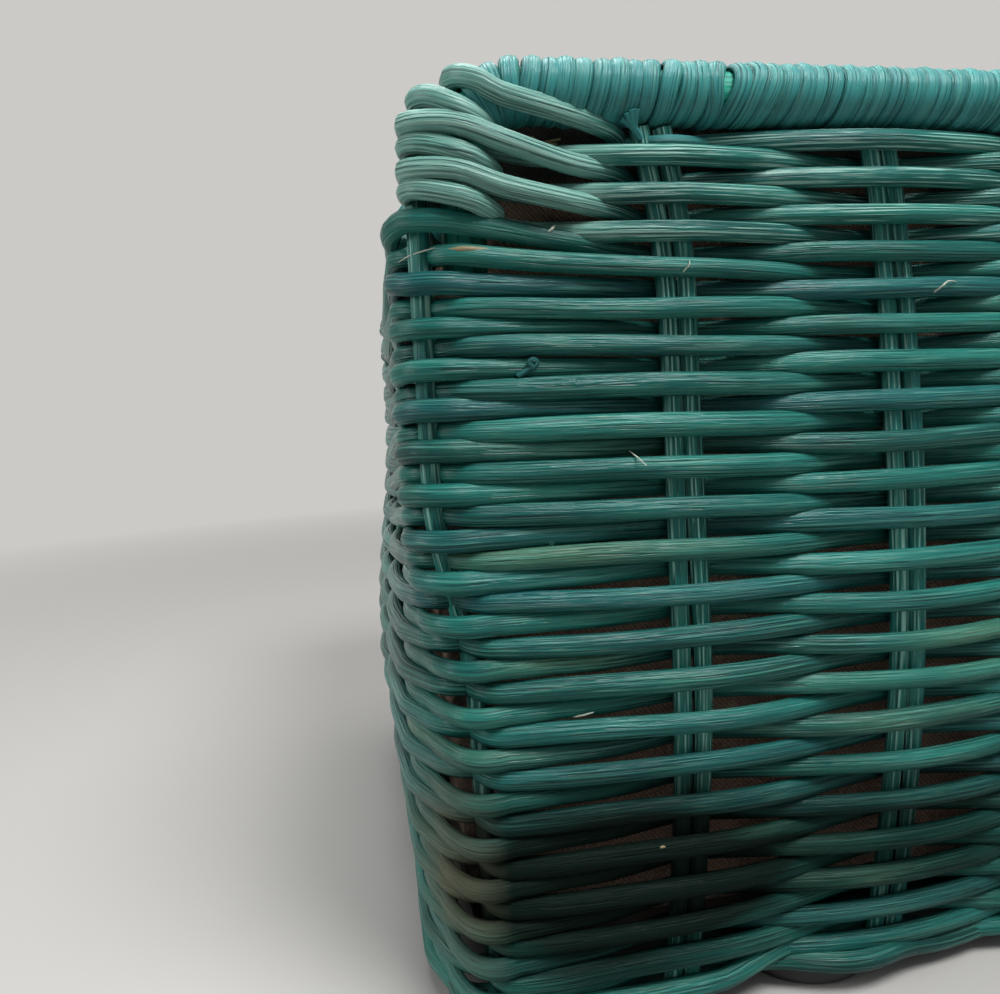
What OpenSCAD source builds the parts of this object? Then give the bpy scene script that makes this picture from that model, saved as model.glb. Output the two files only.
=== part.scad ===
// Woven reed box bag: a round-reed basket on black feet, with wrapped frames along the front and
// rear top edges, low side walls, a drop-in hinged lid, a folding handle and a lined inside.
// Millimetres. The front is -Y, +Z is up, and the origin is on the floor under the middle of the bag.

/* [Body] */
// Width over the outermost strands
body_w = 253; // [235:1:290]
// Depth over the outermost strands
body_d = 136; // [120:1:170]
// Rows of weaving that run right round the bag
lower_rows = 38; // [30:2:42]
// Rows of weaving above them, on the front and rear only
upper_rows = 6; // [4:2:8]
// Height of one row
row_pitch = 2.8; // [2.6:0.02:3.2]
// Diameter of a weaving reed and of a stake
reed_d = 3.2; // [2.8:0.1:3.4]
// Distance between neighbouring stakes of the front and rear
front_stake_pitch = 34; // [28:0.5:36]
// Distance between neighbouring stakes of the sides
side_stake_pitch = 31; // [26:0.5:32]
// Radius of the corners at the middle of the wall
corner_r = 5.2; // [5:0.1:7]
// How far the middle of the front and the rear swells outwards
bulge = 4; // [0:0.5:6]

/* [Frames] */
// Diameter of the rod inside the front and rear frames
frame_d = 7; // [6:0.5:8]
// Thickness of the cane wrapped round the top edge
rim_wrap_t = 1.65; // [1.2:0.05:2]
// Width of one turn of that cane
rim_turn_w = 2.5; // [2:0.1:3]
// Radius of the bend where a frame turns down at a corner
bend_r = 8; // [7.5:0.5:10]
// Thickness of the reed turned round a frame's legs
leg_turn_t = 2.4; // [1.8:0.1:2.8]
// Diameter of the wrapped border on top of a side wall
border_d = 5; // [4:0.5:6]

/* [Base and lining] */
// Thickness of the woven base
base_t = 5; // [4:0.5:7]
// Thickness of the stiffening board
board_t = 2.5; // [2:0.5:4]
// Thickness of the lining cloth with its backing
lining_t = 1.5; // [1:0.1:2]
// Diameter of a foot
foot_d = 25; // [18:1:28]
// Height of a foot
foot_h = 5; // [3:0.5:8]
// Distance of a foot's middle from the end of the bag
foot_in_x = 64; // [30:1:70]
// Shank diameter of a foot's screw
screw_d = 3; // [2:0.5:4]

/* [Lid] */
// Diameter of the rod inside the lid's edge
lid_rod_d = 5.2; // [4.4:0.2:6]
// Thickness of the cane wrapped round it
lid_wrap_t = 1.4; // [1:0.1:1.8]
// Diameter of the reeds of the lid
lid_reed_d = 2.4; // [2:0.1:2.6]
// Free room between the lid's edge and the frames' legs
lid_room = 1.2; // [1:0.1:3]
// Distance of a hinge loop from the middle
hinge_x = 62; // [40:1:80]
// Width of a hinge loop
hinge_w = 6; // [4:0.5:9]

/* [Handle] */
// Diameter of the rod inside the handle
handle_rod_d = 5; // [4:0.5:6]
// Thickness of the cane wrapped round the grip
handle_wrap_t = 1.5; // [1:0.1:2]
// Distance between the handle's legs
handle_span = 88; // [70:1:110]
// Distance from the handle's pivots to the middle of its grip
handle_reach = 37; // [30:1:40]
// Width of a handle loop
handle_loop_w = 5; // [4:0.5:7]

/* [Closing tab] */
// Width of the leather tab
tab_w = 24; // [16:1:30]
// Thickness of the leather
tab_t = 2; // [1.5:0.1:2.5]
// Diameter of the magnetic discs
magnet_d = 12; // [8:1:14]

/* [Hidden] */
$fn = 48;

// Clearances: between pieces fixed together, round a turning rod, and between moving pieces
fit = 0.05;
running_fit = 0.08;
moving_gap = 0.3;

// Wall: a stake with one strand outside it and one inside it
wall_t = 3 * reed_d;
wall_x = body_w / 2 - wall_t / 2;
wall_y = body_d / 2 - wall_t / 2;
front_stakes = 6;
side_stakes = 3;
lower_h = lower_rows * row_pitch;
upper_h = upper_rows * row_pitch;
lower_top = foot_h + lower_h;
upper_top = lower_top + upper_h;
swell_levels = 6;
slot_l = 7;
slot_h = 1;
slot_from_stake = 9;
slot_row_step = 12;

// Frames
rim_r = frame_d / 2 + rim_wrap_t;
rim_z = upper_top + rim_r + fit;
turn_r = frame_d / 2 + leg_turn_t;
leg_inset = 1;
leg_x = body_w / 2 - turn_r - leg_inset;
leg_bottom = lower_top + fit;
bend_x = leg_x - bend_r;
bend_z = rim_z - bend_r;
groove = 0.4;

// Side borders
border_z = lower_top + border_d / 2 + fit;
border_half = wall_y - turn_r - moving_gap;

// Base, lining and feet
inside_x = body_w / 2 - wall_t;
inside_y = body_d / 2 - wall_t;
wall_gap = 0.4;
base_top = foot_h + base_t;
board_z = base_top + fit;
board_top = board_z + board_t;
lining_z = board_top + 0.1;
lining_top = lower_top + border_d / 2;
lining_corner = 3;
foot_edge = 1.6;
foot_flush = 2;
foot_x = body_w / 2 - foot_in_x;
foot_y = body_d / 2 - foot_d / 2 - foot_flush;
screw_tip = 1.5;
screw_head_d = 1.6 * screw_d;
screw_head_h = 1.2;

// Lid
lid_edge_r = lid_rod_d / 2 + lid_wrap_t;
lid_z = border_z + border_d / 2 + lid_edge_r + moving_gap;
lid_y = wall_y - turn_r - lid_room - lid_edge_r;
lid_x = wall_x - 0.8;
lid_bend_r = 6;
lid_turn_w = 2.2;
lid_in_x = lid_x - lid_edge_r - moving_gap;
lid_in_y = lid_y - lid_edge_r - moving_gap;
lid_panel_h = 1.5 * lid_reed_d;
lid_top = lid_z + lid_panel_h;
lid_rows = floor(2 * lid_in_y / row_pitch);
lid_stake_pitch = front_stake_pitch;
lid_lining_t = 1.1;
lid_lining_edge = 1;

// Handle, folded forwards on the lid
handle_r = handle_rod_d / 2;
grip_r = handle_r + handle_wrap_t;
loop_bore_r = handle_r + running_fit;
loop_r = loop_bore_r + 2;
pivot_z = lid_top + loop_r + 0.2;
leg_half = handle_span / 2;
pin_bend_r = 5;
grip_bend_r = 10;
loop_x = leg_half + pin_bend_r + moving_gap + handle_loop_w / 2;
pin_end_x = loop_x + handle_loop_w / 2 + moving_gap;
pin_head_r = handle_r + 1.2;
pin_head_w = 3;
grip_half = leg_half - grip_bend_r;

// Closing tab: from the lid's front edge over the front rim to a magnet on the front wall
tab_x = tab_w / 2;
tab_rim_gap = 0.6;
tab_in_r = rim_r + tab_rim_gap;
tab_out_r = tab_in_r + tab_t;
tab_step = 1;
tab_front_y = -wall_y - tab_step;
tab_below_rows = 6;
tab_bottom = lower_top - tab_below_rows;
tab_end_r = 5;
tab_seat_z = lid_z + lid_edge_r + fit;
tab_tail_y = -handle_reach - grip_r - 1.5;
magnet_z = lower_top + magnet_d / 2;
magnet_gap = 0.5;
magnet_t = 0.8;
magnet_back_y = -wall_y - 0.9 * reed_d;
magnet_face_y = tab_front_y - tab_in_r + magnet_t + magnet_gap;
rivet_r = 1;
rivet_head_r = 2.2;
rivet_head_h = 0.8;

reed_color = "#2f6f66";
wrap_color = "#3a7a78";
rod_color = "#1f9c86";
cloth_color = "#7d6450";
black_color = "#17181a";

// Which side of a stake a row passes: outside on every other row, and on every other stake
function outside(stake, row) = (stake + row) % 2 == 1;

// One column of a woven face is a list of [height, distance outwards], from bottom to top.
// At a stake the outer strands stand out, and the stake shows between them.
function stake_column(stake, rows, pitch, d) = concat(
    [[0, d / 2]],
    [for (row = [0:rows - 1]) [(row + 0.5) * pitch, outside(stake, row) ? 1.5 * d : 0.5 * d]],
    [[rows * pitch, d / 2]]);

// Half way between stakes all strands lie in the middle of the wall, with a groove between rows
function middle_column(rows, pitch, d) =
    [for (i = [0:2 * rows]) [i * pitch / 2, i % 2 == 1 ? d / 2 : d / 8]];

// Beside a stake the strands are still mostly outside or inside
function beside_column(stake, rows, pitch, d) =
    [for (i = [0:2 * rows]) [i * pitch / 2,
        i % 2 == 0 ? d / 2 : outside(stake, (i - 1) / 2) ? 1.25 * d : 0.1 * d]];

// A station is [plan point, outward direction, share of the swelling, column]
function swell(station, z, high) = bulge * station[2] * sin(180 * z / high);
function spot(station, z, out, high) = let (away = out + swell(station, z, high))
    [station[0][0] + station[1][0] * away, station[0][1] + station[1][1] * away, z];

// Share of the swelling at a place along a wall: full in the middle, none at the corners
function swell_share(x, half) = 1 - pow(x / half, 2);

// Places of the stakes of a wall, evenly spaced about its middle
function stake_places(count, pitch) = [for (i = [0:count - 1]) (i - (count - 1) / 2) * pitch];

// Stations of a straight run: stakes with a middle column between each two
function run_stations(places, first, y, half, rows, pitch, d) = [
    for (i = [0:2 * len(places) - 2])
        let (at_stake = i % 2 == 0, near = floor(i / 2), next = ceil(i / 2))
        let (x = (places[near] + places[next]) / 2)
        [[x, y], [0, -1], swell_share(x, half),
            at_stake ? stake_column(first + near, rows, pitch, d) : middle_column(rows, pitch, d)]];

// Stations of one end of a wall, from the corner stake to the first stake of the straight run
function corner_stations(side, stake, near_x, half, y, rows, pitch, d) =
    let (angle = 270 + side * 45, cx = side * (half - corner_r))
    [[[cx + corner_r * cos(angle), y + corner_r + corner_r * sin(angle)],
            [cos(angle), sin(angle)], 0, stake_column(stake, rows, pitch, d)],
        [[cx, y], [0, -1], swell_share(cx, half), beside_column(stake, rows, pitch, d)],
        [[(cx + near_x) / 2, y], [0, -1], swell_share((cx + near_x) / 2, half),
            middle_column(rows, pitch, d)]];

// The same stations on a flat wall
function unswollen(list) = [for (s = list) [s[0], s[1], 0, s[3]]];

function turned(list) = [for (i = [len(list) - 1:-1:0]) list[i]];
function sizes(stations) = [for (s = stations) len(s[3])];
function before(list, i) = i == 0 ? 0 : list[i - 1] + before(list, i - 1);

// Faces between two neighbouring columns that start at points a and b
function column_faces(a, b, size_a, size_b, rows) =
    size_a == size_b ?
        [for (i = [0:size_a - 2]) each [[a + i, a + i + 1, b + i + 1], [a + i, b + i + 1, b + i]]] :
    size_a < size_b ? concat([[a, a + 1, b]],
        [for (r = [0:rows - 1]) each [[a + r + 1, b + 2 * r + 1, b + 2 * r],
            [a + r + 1, b + 2 * r + 2, b + 2 * r + 1], [a + r + 1, a + r + 2, b + 2 * r + 2]]]) :
        concat([[a, b + 1, b]],
        [for (r = [0:rows - 1]) each [[a + 2 * r, a + 2 * r + 1, b + r + 1],
            [a + 2 * r + 1, a + 2 * r + 2, b + r + 1], [b + r + 1, a + 2 * r + 2, b + r + 2]]]);

// A woven panel: relief on its outer face, and a plain back in as many levels as its swelling needs
module woven_panel(stations, rows, pitch, back, inner_levels = 1) {
    high = rows * pitch;
    last = len(stations) - 1;
    size = sizes(stations);
    start = [for (i = [0:last]) before(size, i)];
    outer_count = start[last] + size[last];
    step = inner_levels + 1;
    inner = [for (i = [0:last]) outer_count + i * step];
    points = concat(
        [for (s = stations) for (v = s[3]) spot(s, v[0], v[1], high)],
        [for (s = stations) for (j = [0:inner_levels]) spot(s, high * j / inner_levels, -back, high)]);
    outer_faces = [for (i = [0:last - 1])
        each column_faces(start[i], start[i + 1], size[i], size[i + 1], rows)];
    inner_faces = [for (i = [0:last - 1]) for (j = [0:inner_levels - 1])
        each [[inner[i] + j, inner[i + 1] + j, inner[i + 1] + j + 1],
            [inner[i] + j, inner[i + 1] + j + 1, inner[i] + j + 1]]];
    edge_faces = [for (i = [0:last - 1])
        let (top_a = start[i] + size[i] - 1, top_b = start[i + 1] + size[i + 1] - 1)
        each [[top_a, inner[i] + inner_levels, inner[i + 1] + inner_levels, top_b],
            [start[i], start[i + 1], inner[i + 1], inner[i]]]];
    left_end = concat([for (j = [0:inner_levels]) inner[0] + j],
        [for (j = [size[0] - 1:-1:0]) start[0] + j]);
    right_end = concat([for (j = [inner_levels:-1:0]) inner[last] + j],
        [for (j = [0:size[last] - 1]) start[last] + j]);
    polyhedron(points, concat(outer_faces, inner_faces, edge_faces, [left_end, right_end]));
}

// Slits beside the stakes, where the lining shows between two rows
module slits(places, y, rows, pitch) {
    for (i = [0:len(places) - 1], row = [slot_row_step / 2 + i % 2:slot_row_step:rows - 1])
        let (side = (i + row) % 2 == 0 ? 1 : -1, x = places[i] + side * slot_from_stake)
            translate([x, y + wall_t, row * pitch])
                rotate([90, 0, 0])
                    hull()
                        for (end = [-1, 1])
                            translate([end * (slot_l - slot_h) / 2, 0, 0])
                                cylinder(d = slot_h, h = 2 * wall_t, $fn = 4);
}

// A lower wall, with its outside towards -Y: half its length, how far out it lies, its stakes,
// the first stake's number counted round the bag, and whether it swells
module lower_wall(half, out, count, pitch, first, swells) {
    places = stake_places(count, pitch);
    near = places[count - 1];
    left = corner_stations(-1, first, -near, half, -out, lower_rows, row_pitch, reed_d);
    right = corner_stations(1, first + count + 1, near, half, -out, lower_rows, row_pitch, reed_d);
    run = run_stations(places, first + 1, -out, half, lower_rows, row_pitch, reed_d);
    stations = concat(left, run, turned(right));
    translate([0, 0, foot_h])
        difference() {
            woven_panel(swells ? stations : unswollen(stations), lower_rows, row_pitch, wall_t / 2,
                swells ? swell_levels : 1);
            slits(places, -out, lower_rows, row_pitch);
        }
}

module front_weave() color(reed_color)
    lower_wall(wall_x, wall_y, front_stakes, front_stake_pitch, 0, true);
module right_weave() color(reed_color) rotate(90)
    lower_wall(wall_y, wall_x, side_stakes, side_stake_pitch, front_stakes + 1, false);
module rear_weave() color(reed_color) rotate(180)
    lower_wall(wall_x, wall_y, front_stakes, front_stake_pitch, front_stakes + side_stakes + 2, true);
module left_weave() color(reed_color) rotate(270)
    lower_wall(wall_y, wall_x, side_stakes, side_stake_pitch, 2 * front_stakes + side_stakes + 3, false);

// The rows above the side walls turn back at the frame's legs
module upper_wall() {
    places = stake_places(front_stakes, front_stake_pitch);
    end_x = bend_x - fit;
    end = [[end_x, -wall_y], [0, -1], 0, middle_column(upper_rows, row_pitch, reed_d)];
    start = [[-end_x, -wall_y], [0, -1], 0, end[3]];
    run = run_stations(places, 1, -wall_y, wall_x, upper_rows, row_pitch, reed_d);
    translate([0, 0, lower_top])
        woven_panel(concat([start], unswollen(run), [end]), upper_rows, row_pitch, wall_t / 2);
}
module front_upper_weave() color(reed_color) upper_wall();
module rear_upper_weave() color(reed_color) mirror([0, 1, 0]) upper_wall();

// A rod along X, and a quarter bend in the XZ plane
module rod(x0, x1, r) translate([x0, 0, 0]) rotate([0, 90, 0]) cylinder(r = r, h = x1 - x0);
module bend(radius, r, from) rotate([90, 0, 0]) rotate(from)
    rotate_extrude(angle = 90) translate([radius, 0]) circle(r);
module hollow_bend(radius, r, bore, from) rotate([90, 0, 0]) rotate(from)
    rotate_extrude(angle = 90) translate([radius, 0]) difference() { circle(r); circle(bore); }

// Turns of cane round a rod along Z: an outline of low arches, spun round
module turns(length, r, bore, turn_w) {
    count = max(1, round(length / turn_w));
    pitch = length / count;
    rotate_extrude()
        polygon(concat([[bore, 0], [r - groove, 0]],
            [for (i = [0:count - 1]) each [[r, (i + 0.3) * pitch], [r, (i + 0.7) * pitch],
                [r - groove, (i + 1) * pitch]]],
            [[bore, length]]));
}
module turns_x(x0, x1, r, bore, turn_w) translate([x0, 0, 0]) rotate([0, 90, 0])
    turns(x1 - x0, r, bore, turn_w);

// A frame is one rod bent down at both corners
module frame_rod() translate([0, -wall_y, 0]) {
    translate([0, 0, rim_z]) rod(-bend_x, bend_x, frame_d / 2);
    for (side = [-1, 1]) {
        translate([side * bend_x, 0, bend_z]) bend(bend_r, frame_d / 2, side > 0 ? 0 : 90);
        translate([side * leg_x, 0, leg_bottom]) cylinder(d = frame_d, h = bend_z - leg_bottom);
    }
}
module front_frame_rod() color(rod_color) frame_rod();
module rear_frame_rod() color(rod_color) rotate(180) frame_rod();

module rim_wrap() translate([0, -wall_y, rim_z])
    turns_x(-bend_x, bend_x, rim_r, frame_d / 2 + fit, rim_turn_w);
module front_rim_wrap() color(wrap_color) rim_wrap();
module rear_rim_wrap() color(wrap_color) rotate(180) rim_wrap();

// Reed turned round one leg and its bend
module leg_turns(side) translate([0, -wall_y, 0]) {
    translate([side * leg_x, 0, leg_bottom])
        turns(bend_z - leg_bottom, turn_r, frame_d / 2 + fit, row_pitch);
    translate([side * (bend_x + fit), 0, bend_z])
        hollow_bend(bend_r - fit, turn_r - groove, frame_d / 2 + 2 * fit, side > 0 ? 0 : 90);
}
module front_left_turns() color(reed_color) leg_turns(-1);
module front_right_turns() color(reed_color) leg_turns(1);
module rear_left_turns() color(reed_color) rotate(180) leg_turns(1);
module rear_right_turns() color(reed_color) rotate(180) leg_turns(-1);

module side_border(side) translate([side * wall_x, 0, border_z]) rotate(90)
    turns_x(-border_half, border_half, border_d / 2, 0, row_pitch);
module left_border() color(wrap_color) side_border(-1);
module right_border() color(wrap_color) side_border(1);

module at_feet() for (sx = [-1, 1], sy = [-1, 1]) translate([sx * foot_x, sy * foot_y, 0]) children();

// Woven base: rows of reed along X, ridged underneath
module base_weave() color(reed_color) {
    half_x = inside_x - wall_gap;
    half_y = inside_y - wall_gap;
    count = round(2 * half_y / row_pitch);
    pitch = 2 * half_y / count;
    difference() {
        translate([-half_x, 0, foot_h])
            rotate([90, 0, 90])
                linear_extrude(2 * half_x)
                    polygon(concat([[-half_y, base_t], [-half_y, 2 * groove]],
                        [for (i = [0:count - 1]) let (y = -half_y + i * pitch)
                            each [[y + 0.25 * pitch, 0], [y + 0.75 * pitch, 0], [y + pitch, 2 * groove]]],
                        [[half_y, base_t]]));
        at_feet() cylinder(d = screw_d + 4 * fit, h = base_top + 1);
    }
}

module rounded_rect(half_x, half_y, r) {
    square([2 * half_x, 2 * (half_y - r)], center = true);
    square([2 * (half_x - r), 2 * half_y], center = true);
    for (sx = [-1, 1], sy = [-1, 1]) translate([sx * (half_x - r), sy * (half_y - r)]) circle(r);
}

module base_board() color("#b08d62") difference() {
    translate([0, 0, board_z]) linear_extrude(board_t)
        rounded_rect(inside_x - wall_gap, inside_y - wall_gap, lining_corner);
    at_feet() {
        cylinder(d = screw_d + 4 * fit, h = board_top + 1);
        translate([0, 0, board_top - screw_head_h - fit]) cylinder(d = screw_head_d + 4 * fit, h = board_t);
    }
}

module lining() color(cloth_color) difference() {
    translate([0, 0, lining_z]) linear_extrude(lining_top - lining_z)
        rounded_rect(inside_x - wall_gap, inside_y - wall_gap, lining_corner);
    translate([0, 0, lining_z + lining_t]) linear_extrude(lining_top)
        rounded_rect(inside_x - wall_gap - lining_t, inside_y - wall_gap - lining_t, lining_corner - lining_t);
}

module foot(sx, sy) color(black_color) translate([sx * foot_x, sy * foot_y, 0]) difference() {
    rotate_extrude() {
        square([foot_d / 2 - foot_edge, foot_h]);
        translate([0, foot_edge]) square([foot_d / 2, foot_h - foot_edge]);
        translate([foot_d / 2 - foot_edge, foot_edge]) circle(foot_edge);
    }
    translate([0, 0, screw_tip - fit]) cylinder(d = screw_d + 2 * fit, h = foot_h);
}
module foot_front_left() foot(-1, -1);
module foot_front_right() foot(1, -1);
module foot_rear_left() foot(-1, 1);
module foot_rear_right() foot(1, 1);

module foot_screws() color("#8f8f8c") at_feet() {
    translate([0, 0, screw_tip]) cylinder(d = screw_d, h = board_top - screw_tip);
    translate([0, 0, board_top - screw_head_h]) cylinder(d = screw_head_d, h = screw_head_h);
}

// A cane loop holds the lid's rear rod to the rear wall
module hinge_loop(side) color(wrap_color) translate([side * hinge_x, lid_y, lid_z]) difference() {
    union() {
        rod(-hinge_w / 2, hinge_w / 2, lid_edge_r);
        translate([-hinge_w / 2, 0, -lid_wrap_t]) cube([hinge_w, inside_y - fit - lid_y, 2 * lid_wrap_t]);
    }
    rod(-hinge_w, hinge_w, lid_rod_d / 2 + running_fit);
}
module hinge_loop_left() hinge_loop(-1);
module hinge_loop_right() hinge_loop(1);

module disc_y(y0, y1, d) translate([0, y1, magnet_z]) rotate([90, 0, 0]) cylinder(d = d, h = y1 - y0);
module wall_magnet() color(black_color) disc_y(magnet_face_y, magnet_back_y, magnet_d);

// The lid's edge is one rod bent into a rectangle
module lid_rod() color(rod_color) translate([0, 0, lid_z]) {
    for (s = [-1, 1]) {
        translate([0, s * lid_y, 0]) rod(-lid_x + lid_bend_r, lid_x - lid_bend_r, lid_rod_d / 2);
        translate([s * lid_x, 0, 0]) rotate(90) rod(-lid_y + lid_bend_r, lid_y - lid_bend_r, lid_rod_d / 2);
    }
    lid_corners() rotate_extrude(angle = 90) translate([lid_bend_r, 0]) circle(lid_rod_d / 2);
}
module lid_corners() for (q = [0:3])
    translate([(q == 0 || q == 3 ? 1 : -1) * (lid_x - lid_bend_r), (q < 2 ? 1 : -1) * (lid_y - lid_bend_r), 0])
        rotate(90 * q) children();

// Its wrapping leaves the rear rod bare inside the hinge loops
module lid_wrap() color(wrap_color) translate([0, 0, lid_z]) {
    bore = lid_rod_d / 2 + fit;
    x_end = lid_x - lid_bend_r;
    y_end = lid_y - lid_bend_r;
    gap_in = hinge_x - hinge_w / 2 - moving_gap;
    gap_out = hinge_x + hinge_w / 2 + moving_gap;
    translate([0, -lid_y, 0]) turns_x(-x_end, x_end, lid_edge_r, bore, lid_turn_w);
    translate([0, lid_y, 0]) {
        turns_x(-x_end, -gap_out, lid_edge_r, bore, lid_turn_w);
        turns_x(-gap_in, gap_in, lid_edge_r, bore, lid_turn_w);
        turns_x(gap_out, x_end, lid_edge_r, bore, lid_turn_w);
    }
    for (s = [-1, 1]) translate([s * lid_x, 0, 0]) rotate(90)
        turns_x(-y_end, y_end, lid_edge_r, bore, lid_turn_w);
    lid_corners() rotate_extrude(angle = 90) translate([lid_bend_r, 0]) difference() {
        circle(lid_edge_r - groove);
        circle(bore);
    }
}

module lid_weave() color(reed_color) {
    places = stake_places(front_stakes, lid_stake_pitch);
    high = 2 * lid_in_y;
    pitch = high / lid_rows;
    edge = middle_column(lid_rows, pitch, lid_reed_d);
    run = run_stations(places, 0, 0, lid_in_x, lid_rows, pitch, lid_reed_d);
    translate([0, -lid_in_y, lid_z])
        rotate([-90, 0, 0])
            woven_panel(concat([[[-lid_in_x, 0], [0, -1], 0, edge]], unswollen(run),
                [[[lid_in_x, 0], [0, -1], 0, edge]]), lid_rows, pitch, lid_panel_h);
}

module lid_lining() color(cloth_color)
    translate([0, 0, lid_z - lid_panel_h - fit - lid_lining_t]) linear_extrude(lid_lining_t)
        rounded_rect(lid_in_x - lid_lining_edge, lid_in_y - lid_lining_edge, lining_corner);

module handle_loop(side) color(wrap_color) translate([side * loop_x, 0, pivot_z]) difference() {
    rod(-handle_loop_w / 2, handle_loop_w / 2, loop_r);
    rod(-handle_loop_w, handle_loop_w, loop_bore_r);
}
module handle_loop_left() handle_loop(-1);
module handle_loop_right() handle_loop(1);

// The handle is one rod: two pivot pins with heads, two legs and the grip
module handle_rod() color(rod_color) translate([0, 0, pivot_z]) {
    translate([0, -handle_reach, 0]) rod(-grip_half, grip_half, handle_r);
    for (side = [0, 1]) mirror([side, 0, 0]) {
        translate([leg_half + pin_bend_r, 0, 0]) rod(0, pin_end_x - leg_half - pin_bend_r, handle_r);
        translate([pin_end_x, 0, 0]) rod(0, pin_head_w, pin_head_r);
        translate([leg_half + pin_bend_r, -pin_bend_r, 0]) rotate(90)
            rotate_extrude(angle = 90) translate([pin_bend_r, 0]) circle(handle_r);
        translate([leg_half, -pin_bend_r, 0]) rotate(-90)
            rod(0, handle_reach - pin_bend_r - grip_bend_r, handle_r);
        translate([grip_half, grip_bend_r - handle_reach, 0]) rotate(-90)
            rotate_extrude(angle = 90) translate([grip_bend_r, 0]) circle(handle_r);
    }
}
module handle_wrap() color(wrap_color) translate([0, -handle_reach, pivot_z])
    turns_x(-grip_half, grip_half, grip_r, handle_r + fit, lid_turn_w);

// Outline of the leather from the side: along the lid's edge, up, over the rim and down the front
module tab_outline() {
    difference() {
        union() {
            translate([-wall_y, rim_z]) circle(tab_out_r);
            translate([tab_front_y, rim_z]) circle(tab_out_r);
            translate([tab_front_y, rim_z]) square([tab_step, tab_out_r]);
        }
        translate([-wall_y, rim_z]) circle(tab_in_r);
        translate([tab_front_y, rim_z]) circle(tab_in_r);
        translate([tab_front_y - 2 * tab_out_r, rim_z - 2 * tab_out_r])
            square([4 * tab_out_r + tab_step, 2 * tab_out_r]);
        translate([tab_front_y, rim_z - tab_in_r]) square([tab_step, 2 * tab_in_r]);
    }
    translate([-wall_y + tab_in_r, tab_seat_z]) square([tab_t, rim_z - tab_seat_z]);
    translate([-wall_y + tab_in_r, tab_seat_z]) square([tab_tail_y + wall_y - tab_in_r, tab_t]);
    translate([tab_front_y - tab_out_r, tab_bottom]) square([tab_t, rim_z - tab_bottom]);
}
module closing_tab() color(black_color) difference() {
    translate([-tab_x, 0, 0]) rotate([90, 0, 90]) linear_extrude(tab_w) tab_outline();
    for (s = [-1, 1]) {
        translate([s * tab_w / 4, -lid_y, tab_seat_z - 1]) cylinder(r = rivet_r + fit, h = tab_t + 2);
        translate([s * tab_x, tab_front_y - tab_out_r - 1, tab_bottom]) tab_corner(s);
    }
}
// The waste outside a rounded lower corner of the tab
module tab_corner(s) rotate([-90, 0, 0]) linear_extrude(tab_t + 2) difference() {
    translate([s > 0 ? -tab_end_r : -1, -tab_end_r]) square([tab_end_r + 1, tab_end_r + 1]);
    translate([-s * tab_end_r, -tab_end_r]) circle(tab_end_r);
}

module tab_magnet() color(black_color)
    disc_y(tab_front_y - tab_in_r, tab_front_y - tab_in_r + magnet_t, magnet_d);

module tab_rivets() color("#8f8f8c") for (s = [-1, 1])
    translate([s * tab_w / 4, -lid_y, tab_seat_z]) {
        cylinder(r = rivet_r, h = tab_t);
        translate([0, 0, tab_t]) cylinder(r = rivet_head_r, h = rivet_head_h);
    }

front_weave();
rear_weave();
left_weave();
right_weave();
front_upper_weave();
rear_upper_weave();
front_frame_rod();
rear_frame_rod();
front_rim_wrap();
rear_rim_wrap();
front_left_turns();
front_right_turns();
rear_left_turns();
rear_right_turns();
left_border();
right_border();
base_weave();
base_board();
lining();
foot_front_left();
foot_front_right();
foot_rear_left();
foot_rear_right();
foot_screws();
hinge_loop_left();
hinge_loop_right();
wall_magnet();
lid_rod();
lid_wrap();
lid_weave();
lid_lining();
handle_loop_left();
handle_loop_right();
closing_tab();
tab_magnet();
tab_rivets();
handle_rod();
handle_wrap();
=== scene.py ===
"""Looks of the woven reed box bag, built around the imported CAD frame.

Lengths in the tables below are millimetres, as in the part's source; MM turns them into metres.
The front of the bag is -Y, +X is its right and +Z is up.
"""

import math
from collections import namedtuple

import bpy
import numpy as np
from mathutils import Matrix, Vector
from mathutils.bvhtree import BVHTree


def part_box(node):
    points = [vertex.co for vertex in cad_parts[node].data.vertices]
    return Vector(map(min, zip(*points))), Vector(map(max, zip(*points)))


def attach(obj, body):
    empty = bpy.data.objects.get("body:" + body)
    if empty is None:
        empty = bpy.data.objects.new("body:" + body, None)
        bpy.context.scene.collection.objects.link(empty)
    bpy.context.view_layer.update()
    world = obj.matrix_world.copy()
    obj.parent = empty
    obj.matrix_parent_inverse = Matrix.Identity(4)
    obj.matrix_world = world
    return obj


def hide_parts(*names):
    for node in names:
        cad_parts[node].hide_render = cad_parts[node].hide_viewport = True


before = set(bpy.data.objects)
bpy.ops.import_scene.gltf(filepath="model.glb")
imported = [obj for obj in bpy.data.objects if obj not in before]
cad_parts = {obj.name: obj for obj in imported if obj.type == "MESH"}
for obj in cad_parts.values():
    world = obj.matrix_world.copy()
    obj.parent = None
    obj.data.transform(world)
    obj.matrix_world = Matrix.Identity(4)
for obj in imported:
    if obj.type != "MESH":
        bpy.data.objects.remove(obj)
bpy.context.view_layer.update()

MM = 0.001
rng = np.random.default_rng(11)

# Weave, as in the part's source
REED_D = 3.2
ROW_PITCH = 2.8
LOWER_ROWS = 38
UPPER_ROWS = 6
ROWS = LOWER_ROWS + UPPER_ROWS
FRONT_STAKE_PITCH = 34.0
FRONT_STAKES = 6
SIDE_STAKE_PITCH = 31.0
SIDE_STAKES = 3
CORNER_R = 5.2
CORNER_R_LOW = 6.0
BULGE = 4.0
WALL_T = 3 * REED_D

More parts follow.
